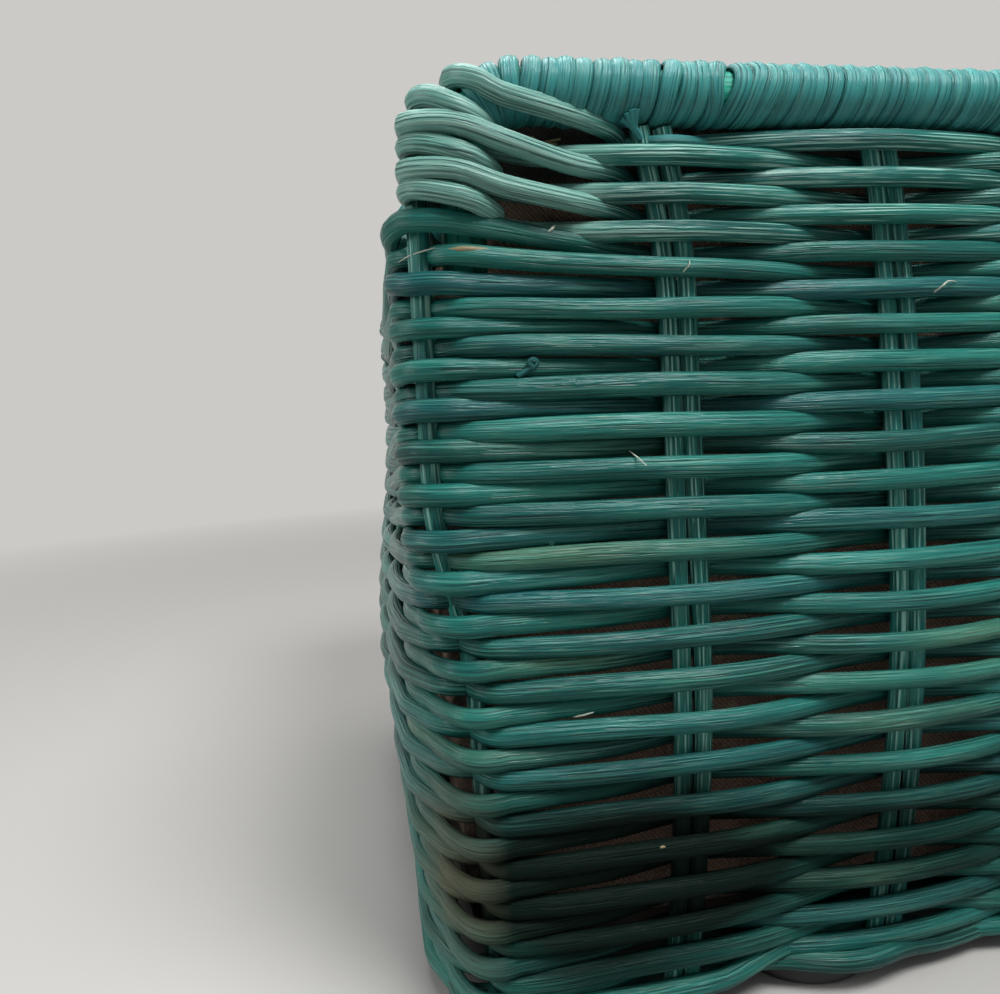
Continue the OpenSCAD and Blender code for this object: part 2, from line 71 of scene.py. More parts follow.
# Places taken from the frame
foot_low, foot_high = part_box("foot_front_right")
FOOT_H = foot_high.z / MM
FOOT_X = (foot_low.x + foot_high.x) / 2 / MM
FOOT_R = (foot_high.x - foot_low.x) / 2 / MM
FOOT_Y = -(foot_low.y + foot_high.y) / 2 / MM
WALL_X = -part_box("left_weave")[0].x / MM - WALL_T / 2
WALL_Y = -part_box("front_upper_weave")[0].y / MM - WALL_T / 2
LOWER_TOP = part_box("front_weave")[1].z / MM
UPPER_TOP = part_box("front_upper_weave")[1].z / MM
LOWER_H = LOWER_TOP - FOOT_H
rim_low, rim_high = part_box("front_rim_wrap")
RIM_Z = (rim_low.z + rim_high.z) / 2 / MM

# Strands and stakes as they look; the front and the left, seen close up, have finer meshes
STRAND_TALL = 1.6
STRAND_DEEP = 1.35
UPPER_TALL = 1.44
# The row from which strands get thinner, and over how many rows
THIN_FROM, THIN_OVER = 27, 8
STAKE_R = 1.45
STAKE_DEEP = 1.05
STAKE_APART = 1.5
STAKE_FORWARD = 0.6
CORNER_STAKE_R = 1.7
CORNER_STAKE_IN = 3.2
FINE_STEP = 1.0
FINE_REACH = 15.0
CLOSE_STEP, FAR_STEP = 2.2, 3.4
CLOSE_SIDES, FAR_SIDES = 12, 8
LOWEST_Z = 3.9
WEAVE_OUT = STAKE_DEEP + STRAND_DEEP + 0.05
CORNER_OUT = 2.7
CORNER_IN = 2.0
# A strand's offset a little way past a corner stake that it passed outside or inside
NEAR_CORNER, PAST_CORNER = 6.5, 16.0
NEAR_OUT, PAST_OUT = 1.6, 0.9
NEAR_IN, PAST_IN = 1.7, 2.2
# The same close to the corner where it also passes in front of a frame's leg
NEAR_LEG = 2.4
# Strands stay outside longer than inside
STAY_OUT = 1.5
# The bag is a little narrower at its rear, less so lower down, where the sides swell out
REAR_NARROW = 0.035
LOW_NARROW = 0.010
SIDE_SWELL = 2.8
SWELL_TOP, SWELL_MIDDLE, SWELL_FOOT, SWELL_RISE = 92.0, 42.0, 4.0, 40.0
# Lower down, the walls are pinched in at the corners
PINCH = 3.4
PINCH_TOP, PINCH_FULL = 80.0, 48.0
PINCH_REACH = 17.0

# How the rows settled: lowest ones pressed down, upper ones lifted, most of all near the corners
SETTLE_SPLIT = 0.28
SETTLE_DOWN = 2.6
SETTLE_UP_CORNER = 4.6
SETTLE_UP_MIDDLE, SIDE_UP_MIDDLE = 2.7, 1.2
SETTLE_REACH, SIDE_REACH = 69.0, 30.0


# Meshes

def smooth_step(t):
    t = np.clip(t, 0, 1)
    return t * t * (3 - 2 * t)


def half_eased(t):
    """Between a straight line and a cosine wave."""
    return 0.5 * t + 0.25 * (1 - np.cos(np.pi * t))


def between(knots, s):
    """For each place, the number of the knot before it and its share of the way to the next one."""
    i = np.clip(np.searchsorted(knots, s, side="right") - 1, 0, len(knots) - 2)
    return i, (s - knots[i]) / (knots[i + 1] - knots[i])


def slump(points):
    """Moves points, in metres, to where the narrow rear and the swelling sides bring them."""
    x, y, z = (points / MM).T
    low = (smooth_step((SWELL_TOP - z) / (SWELL_TOP - SWELL_MIDDLE))
           * smooth_step((z - SWELL_FOOT) / SWELL_RISE))
    narrow = REAR_NARROW + (LOW_NARROW - REAR_NARROW) * low
    wide = 1 - narrow * np.clip((y + WALL_Y) / (2 * WALL_Y), 0, 1)
    swell = SIDE_SWELL * low * np.clip(1 - (y / WALL_Y) ** 2, 0, 1) * np.clip(np.abs(x) / WALL_X, 0, 1) ** 3
    pinch = PINCH * smooth_step((PINCH_TOP - z) / (PINCH_TOP - PINCH_FULL))
    pinch = pinch * (1 - smooth_step((WALL_Y - np.abs(y)) / PINCH_REACH)) * (np.abs(x) / WALL_X) ** 8
    return np.column_stack([x * wide + np.sign(x) * (swell - pinch), y, z]) * MM


class Tubes:
    """Collects tubes and makes one mesh of them, with UVs along and around and a colour per strand."""

    def __init__(self):
        self.points, self.normals, self.loops, self.starts, self.uvs, self.tones = [], [], [], [], [], []
        self.caps = []
        self.count = 0
        self.corner_count = 0

    def add(self, path, tall, deep, segments, tone, up=(0, 0, 1), ends=(True, True), along=0.0, tangent=None):
        """One tube along a path in millimetres; tall is its half size towards up, deep the one across."""
        path = np.asarray(path, float)
        n = len(path)
        tall = np.broadcast_to(np.asarray(tall, float), (n,))
        deep = np.broadcast_to(np.asarray(deep, float), (n,))
        tangent = np.gradient(path, axis=0) if tangent is None else tangent.copy()
        tangent /= np.linalg.norm(tangent, axis=1)[:, None]
        up = np.broadcast_to(np.asarray(up, float), (n, 3))
        high = up - (up * tangent).sum(1)[:, None] * tangent
        high /= np.linalg.norm(high, axis=1)[:, None]
        side = np.cross(tangent, high)
        angle = np.arange(segments) * 2 * math.pi / segments
        ring = (high[:, None, :] * (np.cos(angle)[None, :, None] * tall[:, None, None])
                + side[:, None, :] * (np.sin(angle)[None, :, None] * deep[:, None, None]))
        self.points.append((path[:, None, :] + ring).reshape(-1, 3) * MM)
        facing = (high[:, None, :] * (np.cos(angle)[None, :, None] / tall[:, None, None])
                  + side[:, None, :] * (np.sin(angle)[None, :, None] / deep[:, None, None]))
        self.normals.append((facing / np.linalg.norm(facing, axis=2)[:, :, None]).reshape(-1, 3))
        run = along + np.concatenate([[0], np.cumsum(np.linalg.norm(np.diff(path, axis=0), axis=1))]) * MM

        i, j = np.meshgrid(np.arange(n - 1), np.arange(segments), indexing="ij")
        k = (j + 1) % segments
        base = self.count
        quads = np.stack([base + i * segments + j, base + i * segments + k,
                          base + (i + 1) * segments + k, base + (i + 1) * segments + j], -1).reshape(-1, 4)
        u0, u1 = run[i], run[i + 1]
        v0, v1 = j / segments, (j + 1) / segments
        uv = np.stack([np.stack([u0, v0], -1), np.stack([u0, v1], -1),
                       np.stack([u1, v1], -1), np.stack([u1, v0], -1)], -2).reshape(-1, 2)
        self._faces(quads, uv)
        fan = np.arange(1, segments - 1)
        for wanted, first, flip in ((ends[0], 0, True), (ends[1], (n - 1) * segments, False)):
            if wanted:
                second, third = (fan + 1, fan) if flip else (fan, fan + 1)
                caps = base + first + np.stack([np.zeros_like(fan), second, third], -1)
                self._faces(caps, np.full((caps.size, 2), (run[0] if flip else run[-1], 0.5)))
        tone = np.broadcast_to(np.asarray(tone, float), (n, 3))
        self.tones.append(np.repeat(np.column_stack([tone, np.ones(n)]), segments, axis=0))
        self.count += n * segments

    def _faces(self, faces, uv):
        self.loops.append(faces.ravel())
        self.starts.append(self.corner_count + np.arange(len(faces)) * faces.shape[1])
        self.corner_count += faces.size
        self.uvs.append(uv)
        self.caps.append(np.full(len(faces), faces.shape[1] == 3))

    def make(self, name, material, body="basket", slot=None, replaces=()):
        mesh = bpy.data.meshes.new(name)
        points = slump(np.concatenate(self.points))
        loops = np.concatenate(self.loops)
        starts = np.concatenate(self.starts)
        mesh.vertices.add(len(points))
        mesh.vertices.foreach_set("co", points.ravel())
        mesh.loops.add(len(loops))
        mesh.loops.foreach_set("vertex_index", loops.astype(np.int32))
        mesh.polygons.add(len(starts))
        mesh.polygons.foreach_set("loop_start", starts.astype(np.int32))
        caps = np.concatenate(self.caps)
        mesh.polygons.foreach_set("use_smooth", ~caps)
        layer = mesh.uv_layers.new(name="uv")
        layer.data.foreach_set("uv", np.concatenate(self.uvs).astype(np.float32).ravel())
        colours = mesh.color_attributes.new("strand", "FLOAT_COLOR", "POINT")
        colours.data.foreach_set("color", np.concatenate(self.tones).astype(np.float32).ravel())
        mesh.update(calc_edges=True)
        corners = np.concatenate(self.normals)[loops]
        corners[np.repeat(caps, np.where(caps, 3, 4))] = 0
        mesh.normals_split_custom_set(corners.astype(np.float32))
        return place(name, mesh, material, body, replaces)


def add_object(name, data):
    obj = bpy.data.objects.new(name, data)
    bpy.context.scene.collection.objects.link(obj)
    return obj


def place(name, mesh, material, body, replaces=()):
    """Puts a mesh into the scene on a body, standing for CAD nodes."""
    obj = add_object(name, mesh)
    mesh.materials.append(material)
    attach(obj, body)
    if replaces:
        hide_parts(*replaces)
    return obj


def smooth_path(points, step):
    """A smooth curve through points, in steps of about that length."""
    p = np.asarray(points, float)
    p = np.vstack([2 * p[0] - p[1], p, 2 * p[-1] - p[-2]])
    out = []
    for a, b, c, d in zip(p[:-3], p[1:-2], p[2:-1], p[3:]):
        count = max(2, int(math.ceil(np.linalg.norm(c - b) / step)))
        t = (np.arange(count) / count)[:, None]
        out.append(0.5 * (2 * b + (c - a) * t + (2 * a - 5 * b + 4 * c - d) * t ** 2
                          + (3 * b - a - 3 * c + d) * t ** 3))
    return np.vstack(out + [p[-2][None]])


def strand_tone():
    """Colour of one strand: lightness, hue and a seed for its grain."""
    return rng.random(), rng.random(), rng.random()


def turn_tones(t, turns, seed):
    """Colours along a wrapping strand that change from turn to turn."""
    changes = np.arange(turns + 1)
    return np.column_stack([np.interp(t, changes, rng.random(turns + 1)),
                            np.interp(t, changes, 0.25 + 0.6 * rng.random(turns + 1)), np.full(len(t), seed)])


# Materials

class Shader:
    """A node material with a Principled shader, and short ways to add nodes to it."""

    def __init__(self, name):
        self.material = bpy.data.materials.new(name)
        self.material.use_nodes = True
        self.tree = self.material.node_tree
        self.principled = self.tree.nodes["Principled BSDF"]

    def node(self, kind, inputs=None, **settings):
        made = self.tree.nodes.new(kind)
        for key, value in settings.items():
            setattr(made, key, value)
        for key, value in (inputs or {}).items():
            self.put(made.inputs[key], value)
        return made

    def put(self, socket, value):
        if isinstance(value, bpy.types.NodeSocket):
            self.tree.links.new(value, socket)
        elif isinstance(value, (tuple, list)) and len(value) == 3 and socket.type == "RGBA":
            socket.default_value = (*value, 1)
        else:
            socket.default_value = value

    def set(self, **inputs):
        for key, value in inputs.items():
            self.put(self.principled.inputs[key.replace("_", " ")], value)

    def math(self, operation, a, b=0.0):
        return self.node("ShaderNodeMath", {0: a, 1: b}, operation=operation).outputs[0]

    def plus(self, a, b):
        return self.math("ADD", a, b)

    def times(self, a, b):
        return self.math("MULTIPLY", a, b)

    def mix(self, factor, a, b, blend="MIX"):
        made = self.node("ShaderNodeMix", data_type="RGBA", blend_type=blend)
        self.put(made.inputs["Factor"], factor)
        self.put(made.inputs[6], a)
        self.put(made.inputs[7], b)
        return made.outputs[2]

    def range(self, value, low, high, to_low=0.0, to_high=1.0):
        made = self.node("ShaderNodeMapRange", {"Value": value, "From Min": low, "From Max": high,
                                                "To Min": to_low, "To Max": to_high}, clamp=True)
        return made.outputs[0]

    def noise(self, vector, scale, detail=3.0, roughness=0.55):
        made = self.node("ShaderNodeTexNoise", {"Vector": vector, "Scale": scale, "Detail": detail,
                                                "Roughness": roughness})
        return made.outputs["Fac"]

    def combine(self, x, y, z):
        return self.node("ShaderNodeCombineXYZ", {"X": x, "Y": y, "Z": z}).outputs[0]

    def bump(self, height, strength, distance):
        made = self.node("ShaderNodeBump", {"Height": height, "Strength": strength, "Distance": distance})
        self.put(self.principled.inputs["Normal"], made.outputs[0])


REED_GLOSS = 0.2
REED_DARK = (0.002, 0.030, 0.028)
REED_MID = (0.006, 0.098, 0.082)
REED_LIGHT = (0.022, 0.185, 0.148)
REED_BLUE = (0.010, 0.085, 0.100)
REED_OLIVE = (0.050, 0.100, 0.050)
REED_TAN = (0.30, 0.24, 0.12)
REED_PALE = (0.085, 0.26, 0.210)
# Dark of the stain on the lower left, which also paints in the shade there
STAIN_AND_SHADE_DARK = (0.004, 0.008, 0.006)
STAIN_KHAKI = (0.085, 0.090, 0.060)

# The dark stain on the front's lower left, which also paints in the shade there: middle and reach along X and
# Z, where the grime and painted shade beside it ends, where its khaki edge round the corner turns dark, and
# how far it goes round
STAIN_X, STAIN_Z = -97.0, 24.0
STAIN_WIDE, STAIN_TALL = 36.0, 16.0
GRIME_AND_SHADE_END_X = -40.0
STAIN_CORNER_X = (-122.0, -113.0)
STAIN_FRONT_Y = (-45, -58)
# Length over which a tint that starts at a distance sets in
TINT_OVER = 6


def reed_material(name, tint=None, tint_amount=0.0, tint_from=None, stained_and_shaded=False, roughness=0.29,
                  grooves=14.0, crests=0.45, crest_colour=REED_PALE):
    """Dyed reed or cane: broken grooves along it, with painted shade in them and painted highlights along
    their crests, each strand in its own tone, with pale flecks that are partly painted highlights, and tan
    streaks.

    The tint starts at a distance from the middle, where tint_from gives one.
    """
    s = Shader(name)
    uv = s.node("ShaderNodeUVMap", uv_map="uv").outputs[0]
    along, around = s.node("ShaderNodeSeparateXYZ", {0: uv}).outputs[:2]
    strand = s.node("ShaderNodeAttribute", attribute_name="strand").outputs["Color"]
    light, hue, seed = s.node("ShaderNodeSeparateColor", {0: strand}).outputs[:3]
    at = s.node("ShaderNodeTexCoord").outputs["Object"]
    x, y, z = s.node("ShaderNodeSeparateXYZ", {0: at}).outputs[:3]
    offset = s.times(seed, 91.0)
    angle = s.times(around, 2 * math.pi)
    ring = s.math("COSINE", angle), s.math("SINE", angle)

    def streaks(per_metre, per_round, shift):
        """Noise that closes round the strand and starts at another place on each one."""
        reach = per_round / (2 * math.pi)
        run = s.plus(s.times(along, per_metre), s.plus(offset, shift))
        place_in_noise = s.combine(run, *(s.times(r, reach) for r in ring))
        return s.noise(place_in_noise, 1.0, 2.5, 0.6)

    grain = streaks(42.0, 26.0, 0.0)
    fine = streaks(170.0, 52.0, 7.0)
    patch = streaks(28.0, 1.5, 19.0)
    broken = streaks(95.0, 9.0, 43.0)
    drift = s.times(streaks(16.0, 6.0, 31.0), 3.4)
    phase = s.plus(s.times(around, grooves), drift)
    ridge = s.math("ABSOLUTE", s.math("SINE", s.times(phase, math.pi)))
    groove = s.math("MAXIMUM", ridge, s.range(broken, 0.42, 0.55))
    crest = s.times(s.range(ridge, 0.78, 1.0), s.range(broken, 0.60, 0.44))

    shade = s.plus(s.times(light, 0.30), s.times(patch, 0.85))
    colour = s.mix(s.range(shade, 0.25, 0.62), REED_DARK, REED_MID)
    colour = s.mix(s.range(shade, 0.55, 0.95), colour, REED_LIGHT)
    colour = s.mix(s.range(hue, 0.55, 0.95, 0.0, 0.5), colour, REED_BLUE)
    olive = s.times(s.range(hue, 0.25, 0.05, 0.0, 0.7), s.range(patch, 0.45, 0.68))
    colour = s.mix(olive, colour, REED_OLIVE)
    if tint:
        if tint_from:
            tint_amount = s.range(s.math("ABSOLUTE", x), (tint_from - TINT_OVER) * MM, tint_from * MM,
                                  0.0, tint_amount)
        colour = s.mix(tint_amount, colour, tint)
    colour = s.mix(s.range(grain, 0.47, 0.33, 0.0, 0.75), colour, REED_DARK)
    # painted shade: the grooves' hollows are darkened
    colour = s.mix(s.range(groove, 0.45, 0.05, 0.0, 0.75), colour, REED_DARK)
    colour = s.mix(s.range(grain, 0.54, 0.68, 0.0, 0.5), colour, REED_LIGHT)
    # painted highlights: pale lines along the grooves' crests
    colour = s.mix(s.times(crest, crests), colour, crest_colour)
    # pale flecks: partly the reed's own pale patches and partly painted highlights
    pale = s.times(s.range(fine, 0.52, 0.66), s.range(patch, 0.46, 0.60))
    colour = s.mix(s.times(pale, 0.35), colour, REED_PALE)
    streak = s.times(s.range(fine, 0.62, 0.72), s.range(patch, 0.50, 0.62))
    colour = s.mix(s.times(streak, 0.3), colour, REED_TAN)
    dull = REED_GLOSS
    if stained_and_shaded:
        # The stain, partly painted shade: a dark spot over the lower left, and beside it a band of grime and
        # painted shade along the low rows
        wide = s.math("DIVIDE", s.math("SUBTRACT", x, STAIN_X * MM), STAIN_WIDE * MM)
        tall = s.math("DIVIDE", s.math("SUBTRACT", z, STAIN_Z * MM), STAIN_TALL * MM)
        far = s.math("SQRT", s.plus(s.times(wide, wide), s.times(tall, tall)))
        ragged = s.plus(far, s.times(s.math("SUBTRACT", patch, 0.5), 0.9))
        front = s.range(y, *(edge * MM for edge in STAIN_FRONT_Y))
        spot = s.range(ragged, 1.35, 0.65, 0.0, 0.98)
        off_band = s.plus(s.math("ABSOLUTE", tall), s.math("SUBTRACT", patch, 0.5))
        grime_and_shade = s.times(s.range(off_band, 1.3, 0.3, 0.0, 0.8), s.range(x, 0.0, GRIME_AND_SHADE_END_X * MM))
        mask = s.times(s.math("MAXIMUM", spot, grime_and_shade), front)
        past_corner = s.range(x, *(edge * MM for edge in STAIN_CORNER_X))
        colour = s.mix(mask, colour, s.mix(past_corner, STAIN_KHAKI, STAIN_AND_SHADE_DARK))
        dull = s.range(mask, 0.0, 0.9, REED_GLOSS, 0.02)
    s.set(Base_Color=colour, Roughness=s.range(grain, 0.3, 0.7, roughness + 0.12, roughness - 0.08),
          Specular_IOR_Level=dull)
    relief = s.plus(s.times(grain, 0.8), s.times(fine, 0.4))
    relief = s.plus(relief, s.times(s.range(groove, 0.0, 0.6), 0.45))
    s.bump(relief, 0.7, 0.0004)
    return s.material


def cad_reed_material(name, colour_a, colour_b):
    """Reed on CAD solids, which have no UVs: grain from their place."""
    s = Shader(name)
    at = s.node("ShaderNodeTexCoord").outputs["Object"]
    drawn_out = s.node("ShaderNodeMapping", {"Vector": at, "Scale": (90.0, 900.0, 900.0)}).outputs[0]
    grain = s.noise(drawn_out, 1.0)
    patch = s.noise(at, 60.0)
    colour = s.mix(s.range(patch, 0.35, 0.65), colour_a, colour_b)
    colour = s.mix(s.times(s.range(grain, 0.45, 0.30), 0.6), colour, REED_DARK)
    s.set(Base_Color=colour, Roughness=0.45)
    s.bump(grain, 0.3, 0.0003)
    return s.material


CLOTH_SHADED = (0.16, 0.095, 0.068)
CLOTH_LIT = (0.55, 0.37, 0.27)
# In metres: the twill's ribs and the threads across them
RIB_PITCH, CROSS_PITCH = 0.0008, 0.0006
# Painted shade: the cloth is darkened towards its upper edge, which lies in the dark under the rim
CLOTH_SHADE_Z = (120.0, 124.0)
CLOTH_PAINTED_SHADE = (0.012, 0.030, 0.028)


def twill_material(name):
    """Tan twill: fine diagonal ribs of coarse thread."""
    s = Shader(name)
    at = s.node("ShaderNodeTexCoord").outputs["Object"]
    x, y, z = s.node("ShaderNodeSeparateXYZ", {0: at}).outputs[:3]
    level = s.plus(x, y)
    slant = s.plus(level, z)
    counter = s.math("SUBTRACT", level, z)
    ribs = s.math("SINE", s.times(slant, 2 * math.pi / RIB_PITCH))
    cross = s.math("SINE", s.times(counter, 2 * math.pi / CROSS_PITCH))
    weave = s.plus(s.times(ribs, 0.12), s.times(cross, 0.10))
    fuzz = s.noise(at, 2600.0, 3.0)
    height = s.plus(weave, fuzz)
    colour = s.mix(s.range(height, 0.2, 0.85), CLOTH_SHADED, CLOTH_LIT)
    # painted shade: darker towards the cloth's top edge, under the rim
    shaded_top = s.range(z, *(edge * MM for edge in CLOTH_SHADE_Z), 0.0, 0.85)
    colour = s.mix(shaded_top, colour, CLOTH_PAINTED_SHADE)
    s.set(Base_Color=colour, Roughness=0.9, Sheen_Weight=0.2)
    s.bump(height, 0.6, 0.0003)
    return s.material


def plain_material(name, colour, roughness, bump_scale, bump_depth, metallic=0.0):
    """A plain moulded, leather or metal surface with fine grain and slight changes of shade."""
    s = Shader(name)
    at = s.node("ShaderNodeTexCoord").outputs["Object"]
    grain = s.noise(at, bump_scale, 4.0)
    dark, pale = (tuple(c * share for c in colour) for share in (0.75, 1.25))
    s.set(Base_Color=s.mix(s.noise(at, 90.0), dark, pale), Metallic=metallic,
          Roughness=s.range(grain, 0.3, 0.7, roughness - 0.06, roughness + 0.08))
    s.bump(grain, 0.3, bump_depth)
    return s.material


# The stain on the lower left, partly painted shade, lies on these strands and on the stakes
reed = reed_material("dyed_reed", stained_and_shaded=True)
# Stakes: a lighter tint and strong pale crest lines, painted light and painted highlights on the stakes
stake_reed = reed_material("stake_reed", tint=(0.018, 0.200, 0.172), tint_amount=0.55, stained_and_shaded=True,
                           roughness=0.36, grooves=10.0, crests=1.0, crest_colour=(0.24, 0.48, 0.41))
# Rim cane: its lighter blue-grey tint is painted sheen, the light from above on the rim's turns
wrap_reed = reed_material("rim_cane", tint=(0.050, 0.275, 0.285), tint_amount=0.58, roughness=0.34,
                          grooves=11.0)
# Upper rows: paler towards the corners, partly wear and partly painted light on the upper turns; the pale
# crest lines are painted highlights
worn_reed = reed_material("worn_reed", tint=(0.25, 0.47, 0.40), tint_amount=0.46, tint_from=99.0,
                          crests=0.8, crest_colour=(0.27, 0.47, 0.40))
rod_reed = reed_material("frame_rod", tint=(0.004, 0.30, 0.21), tint_amount=0.85, roughness=0.5)
cad_wrap = cad_reed_material("cane_solid", REED_BLUE, REED_MID)
cad_rod = cad_reed_material("rod_solid", REED_MID, (0.012, 0.15, 0.12))
twill = twill_material("lining_twill")
board = plain_material("plain_board", (0.055, 0.045, 0.035), 0.6, 900.0, 0.0002)
black = plain_material("foot_black", (0.006, 0.0065, 0.0075), 0.5, 1500.0, 0.0001)
leather = plain_material("black_leather", (0.014, 0.013, 0.013), 0.5, 1100.0, 0.0004)
steel = plain_material("steel", (0.55, 0.55, 0.53), 0.35, 1800.0, 0.00005, metallic=1.0)


# The course of the weave round the bag

FRONT_STEPS, SIDE_STEPS = FRONT_STAKES + 1, SIDE_STAKES + 1
# Directions along a wall and outward, half its length, distance out, count and pitch of its stakes, and the
# number of its first corner when stakes and corners are counted from the front left
Wall = namedtuple("Wall", "name along outward half out count pitch first")
FRONT = (WALL_X, WALL_Y, FRONT_STAKES, FRONT_STAKE_PITCH)
SIDE = (WALL_Y, WALL_X, SIDE_STAKES, SIDE_STAKE_PITCH)
WALLS = [Wall(name, np.array(along, float), np.array(outward, float), *sizes, first)
         for name, along, outward, sizes, first in (
             ("front", (1, 0), (0, -1), FRONT, 0),
             ("right", (0, 1), (1, 0), SIDE, FRONT_STEPS),
             ("rear", (-1, 0), (0, 1), FRONT, FRONT_STEPS + SIDE_STEPS),
             ("left", (0, -1), (-1, 0), SIDE, 2 * FRONT_STEPS + SIDE_STEPS))]


def corner_radius(row):
    """The corners are tight at the top and a little rounder towards the base."""
    low = smooth_step((0.66 - row / (LOWER_ROWS - 1)) / 0.5)
    return CORNER_R + (CORNER_R_LOW - CORNER_R) * low


def bulge_at(x, z):
    """How far the front or rear swells out at a place."""
    share = np.clip((np.asarray(z, float) - FOOT_H) / LOWER_H, 0, 1)
    return BULGE * (1 - (np.asarray(x, float) / WALL_X) ** 2) * np.sin(np.pi * share)


# Lean of the stakes: how far, from which height, and over what length
LEAN_TOP, LEAN_TOP_Z, LEAN_TOP_OVER = 3.0, 105, 23
LEAN_FOOT, LEAN_FOOT_Z, LEAN_FOOT_OVER = 2.2, 55, 50


def stake_lean(x, z):
    """Stakes lean outwards from the middle at their tops, and a little at their feet."""
    top = np.clip((z - LEAN_TOP_Z) / LEAN_TOP_OVER, 0, 1) ** 2 * LEAN_TOP
    foot = np.clip((LEAN_FOOT_Z - z) / LEAN_FOOT_OVER, 0, 1) ** 2 * LEAN_FOOT
    return np.sign(x) * (top + foot)


def stake_places(count, pitch):
    return (np.arange(count) - (count - 1) / 2) * pitch


# How much higher the topmost of the lower rows lie next to the corners, from the uppermost down
ROW_LIFTS = (3.8, 2.0, 0.6)
LIFT_REACH = 34.0
# What the side walls add to that, from a little way past the corner, and the reach of both there
SIDE_LIFTS = (0.0, 2.2, 2.4, 1.8, 1.0, 0.5)
SIDE_LIFT_REACH, SIDE_LIFT_START = 24.0, 6.0


def from_top(lifts, row):
    below = LOWER_ROWS - 1 - row
    return lifts[below] if 0 <= below < len(lifts) else 0.0


def settle(row, corner_distance, side):
    """Height by which a row lies off its even place."""
    t = row / (ROWS - 1)
    if t < SETTLE_SPLIT:
        return -SETTLE_DOWN * math.sin(math.pi * (SETTLE_SPLIT - t) / 0.4) * np.ones_like(corner_distance)
    reach, middle = (SIDE_REACH, SIDE_UP_MIDDLE) if side else (SETTLE_REACH, SETTLE_UP_MIDDLE)
    near = 1 - np.clip(corner_distance / reach, 0, 1)
    up = middle + (SETTLE_UP_CORNER - middle) * near
    lift = from_top(ROW_LIFTS, row)
    rise = np.clip(1 - corner_distance / (SIDE_LIFT_REACH if side else LIFT_REACH), 0, 1) ** 1.3
    if side:
        lift = lift + from_top(SIDE_LIFTS, row) * np.clip(corner_distance / SIDE_LIFT_START, 0, 1)
    return up * math.sin(math.pi * (t - SETTLE_SPLIT) / 0.75) + lift * rise


def row_height(row, corner_distance, side=False):
    if row < 0:
        return np.full_like(np.asarray(corner_distance, float), LOWEST_Z)
    return FOOT_H + (row + 0.5) * ROW_PITCH + settle(row, np.asarray(corner_distance, float), side)


def wander(row_seed, s, around):
    """Small wavering of a hand-laid row."""
    a, b = row_seed
    turn = 2 * math.pi * s / around
    return 0.16 * np.sin(7 * turn + a) + 0.12 * np.sin(17 * turn + b)


def wall_length(wall, radius):
    return 2 * (wall.half - radius) + math.pi / 2 * radius


# At the feet: lift of the lowest rows, the lowest row's clearance, and the reach and the place of its bow
FOOT_LIFTS = {-1: 1.2, 0: 2.7}
FOOT_GAP = 0.2
BOW_REACH, BOW_X, BOW_FLOOR = 1.9 * FOOT_R, FOOT_X - 4, 5.0
BOW_SHARP = 1.5


def over_feet(row, x):
    """The lowest rows bend up over the feet."""
    return FOOT_LIFTS.get(row, 0.0) * smooth_step(1.6 - np.abs(np.abs(x) - FOOT_X) / FOOT_R)


def round_feet(x, offset):
    """The lowest row bows out to clear the feet, and keeps its own offset elsewhere."""
    full = FOOT_Y + FOOT_R + STRAND_DEEP + FOOT_GAP - WALL_Y
    far = (np.abs(x) - BOW_X) / BOW_REACH
    bow = (full + BOW_FLOOR) * np.clip(1 - far ** 2, 0, 1) ** 2 - BOW_FLOOR
    return np.log(np.exp(BOW_SHARP * offset) + np.exp(BOW_SHARP * bow)) / BOW_SHARP


def wall_course(wall, row, step, seeds, start_s, around):
    """Centre line of a row along one wall, from corner to corner, going out and in at the stakes."""
    name, along, outward, half, out, count, pitch, first = wall
    side = name in ("left", "right")
    radius = corner_radius(row)
    half_arc = math.pi / 4 * radius
    half = half - radius
    total = 2 * half + 2 * half_arc
    dense = np.linspace(0, FINE_REACH, int(FINE_REACH / FINE_STEP), endpoint=False)
    middle = np.linspace(FINE_REACH, total - FINE_REACH, int((total - 2 * FINE_REACH) / step))
    s = np.concatenate([dense, middle, total - dense[::-1]])
    place_along = np.clip(s - half_arc, 0, 2 * half) - half
    turn = (np.minimum(s - half_arc, 0) + np.maximum(s - total + half_arc, 0)) / radius
    normal = np.sin(turn)[:, None] * along + np.cos(turn)[:, None] * outward
    arc = (place_along[:, None] * along + (out - radius) * outward) + radius * normal
    distance = np.minimum(s, total - s)
    z = row_height(row, distance, side) + wander(seeds, start_s + s, around)
    places = stake_places(count, pitch)
    if not side:
        z = z + over_feet(row, arc[:, 0])
        places = places + stake_lean(places, row_height(row, WALL_X - np.abs(places)))
    outside = [(first + i + row) % 2 == 1 for i in range(count + 2)]
    in_front_of_leg = row >= LOWER_ROWS - 2 and not side
    near = [NEAR_LEG if in_front_of_leg else NEAR_OUT if outside[i] else NEAR_IN for i in (0, -1)]
    past = [PAST_OUT if outside[i] else PAST_IN for i in (0, -1)]
    knots = np.concatenate([[0, NEAR_CORNER, PAST_CORNER], places + half + half_arc,
                            [total - PAST_CORNER, total - NEAR_CORNER, total]])
    offsets = np.array([CORNER_OUT if outside[0] else -CORNER_IN, near[0], past[0]]
                       + [WEAVE_OUT if o else -WEAVE_OUT for o in outside[1:-1]]
                       + [past[1], near[1], CORNER_OUT if outside[-1] else -CORNER_IN])
    i, t = between(knots, s)
    eased = half_eased(t)
    sinking = offsets[i + 1] < offsets[i]
    eased = np.where(sinking, eased ** STAY_OUT, 1 - (1 - eased) ** STAY_OUT)
    offset = offsets[i] + (offsets[i + 1] - offsets[i]) * eased
    if row < 0 and not side:
        offset = round_feet(arc[:, 0], offset)
    if not side:
        offset = offset + bulge_at(arc[:, 0], z)
    plan = arc + offset[:, None] * normal
    return np.column_stack([plan, z])


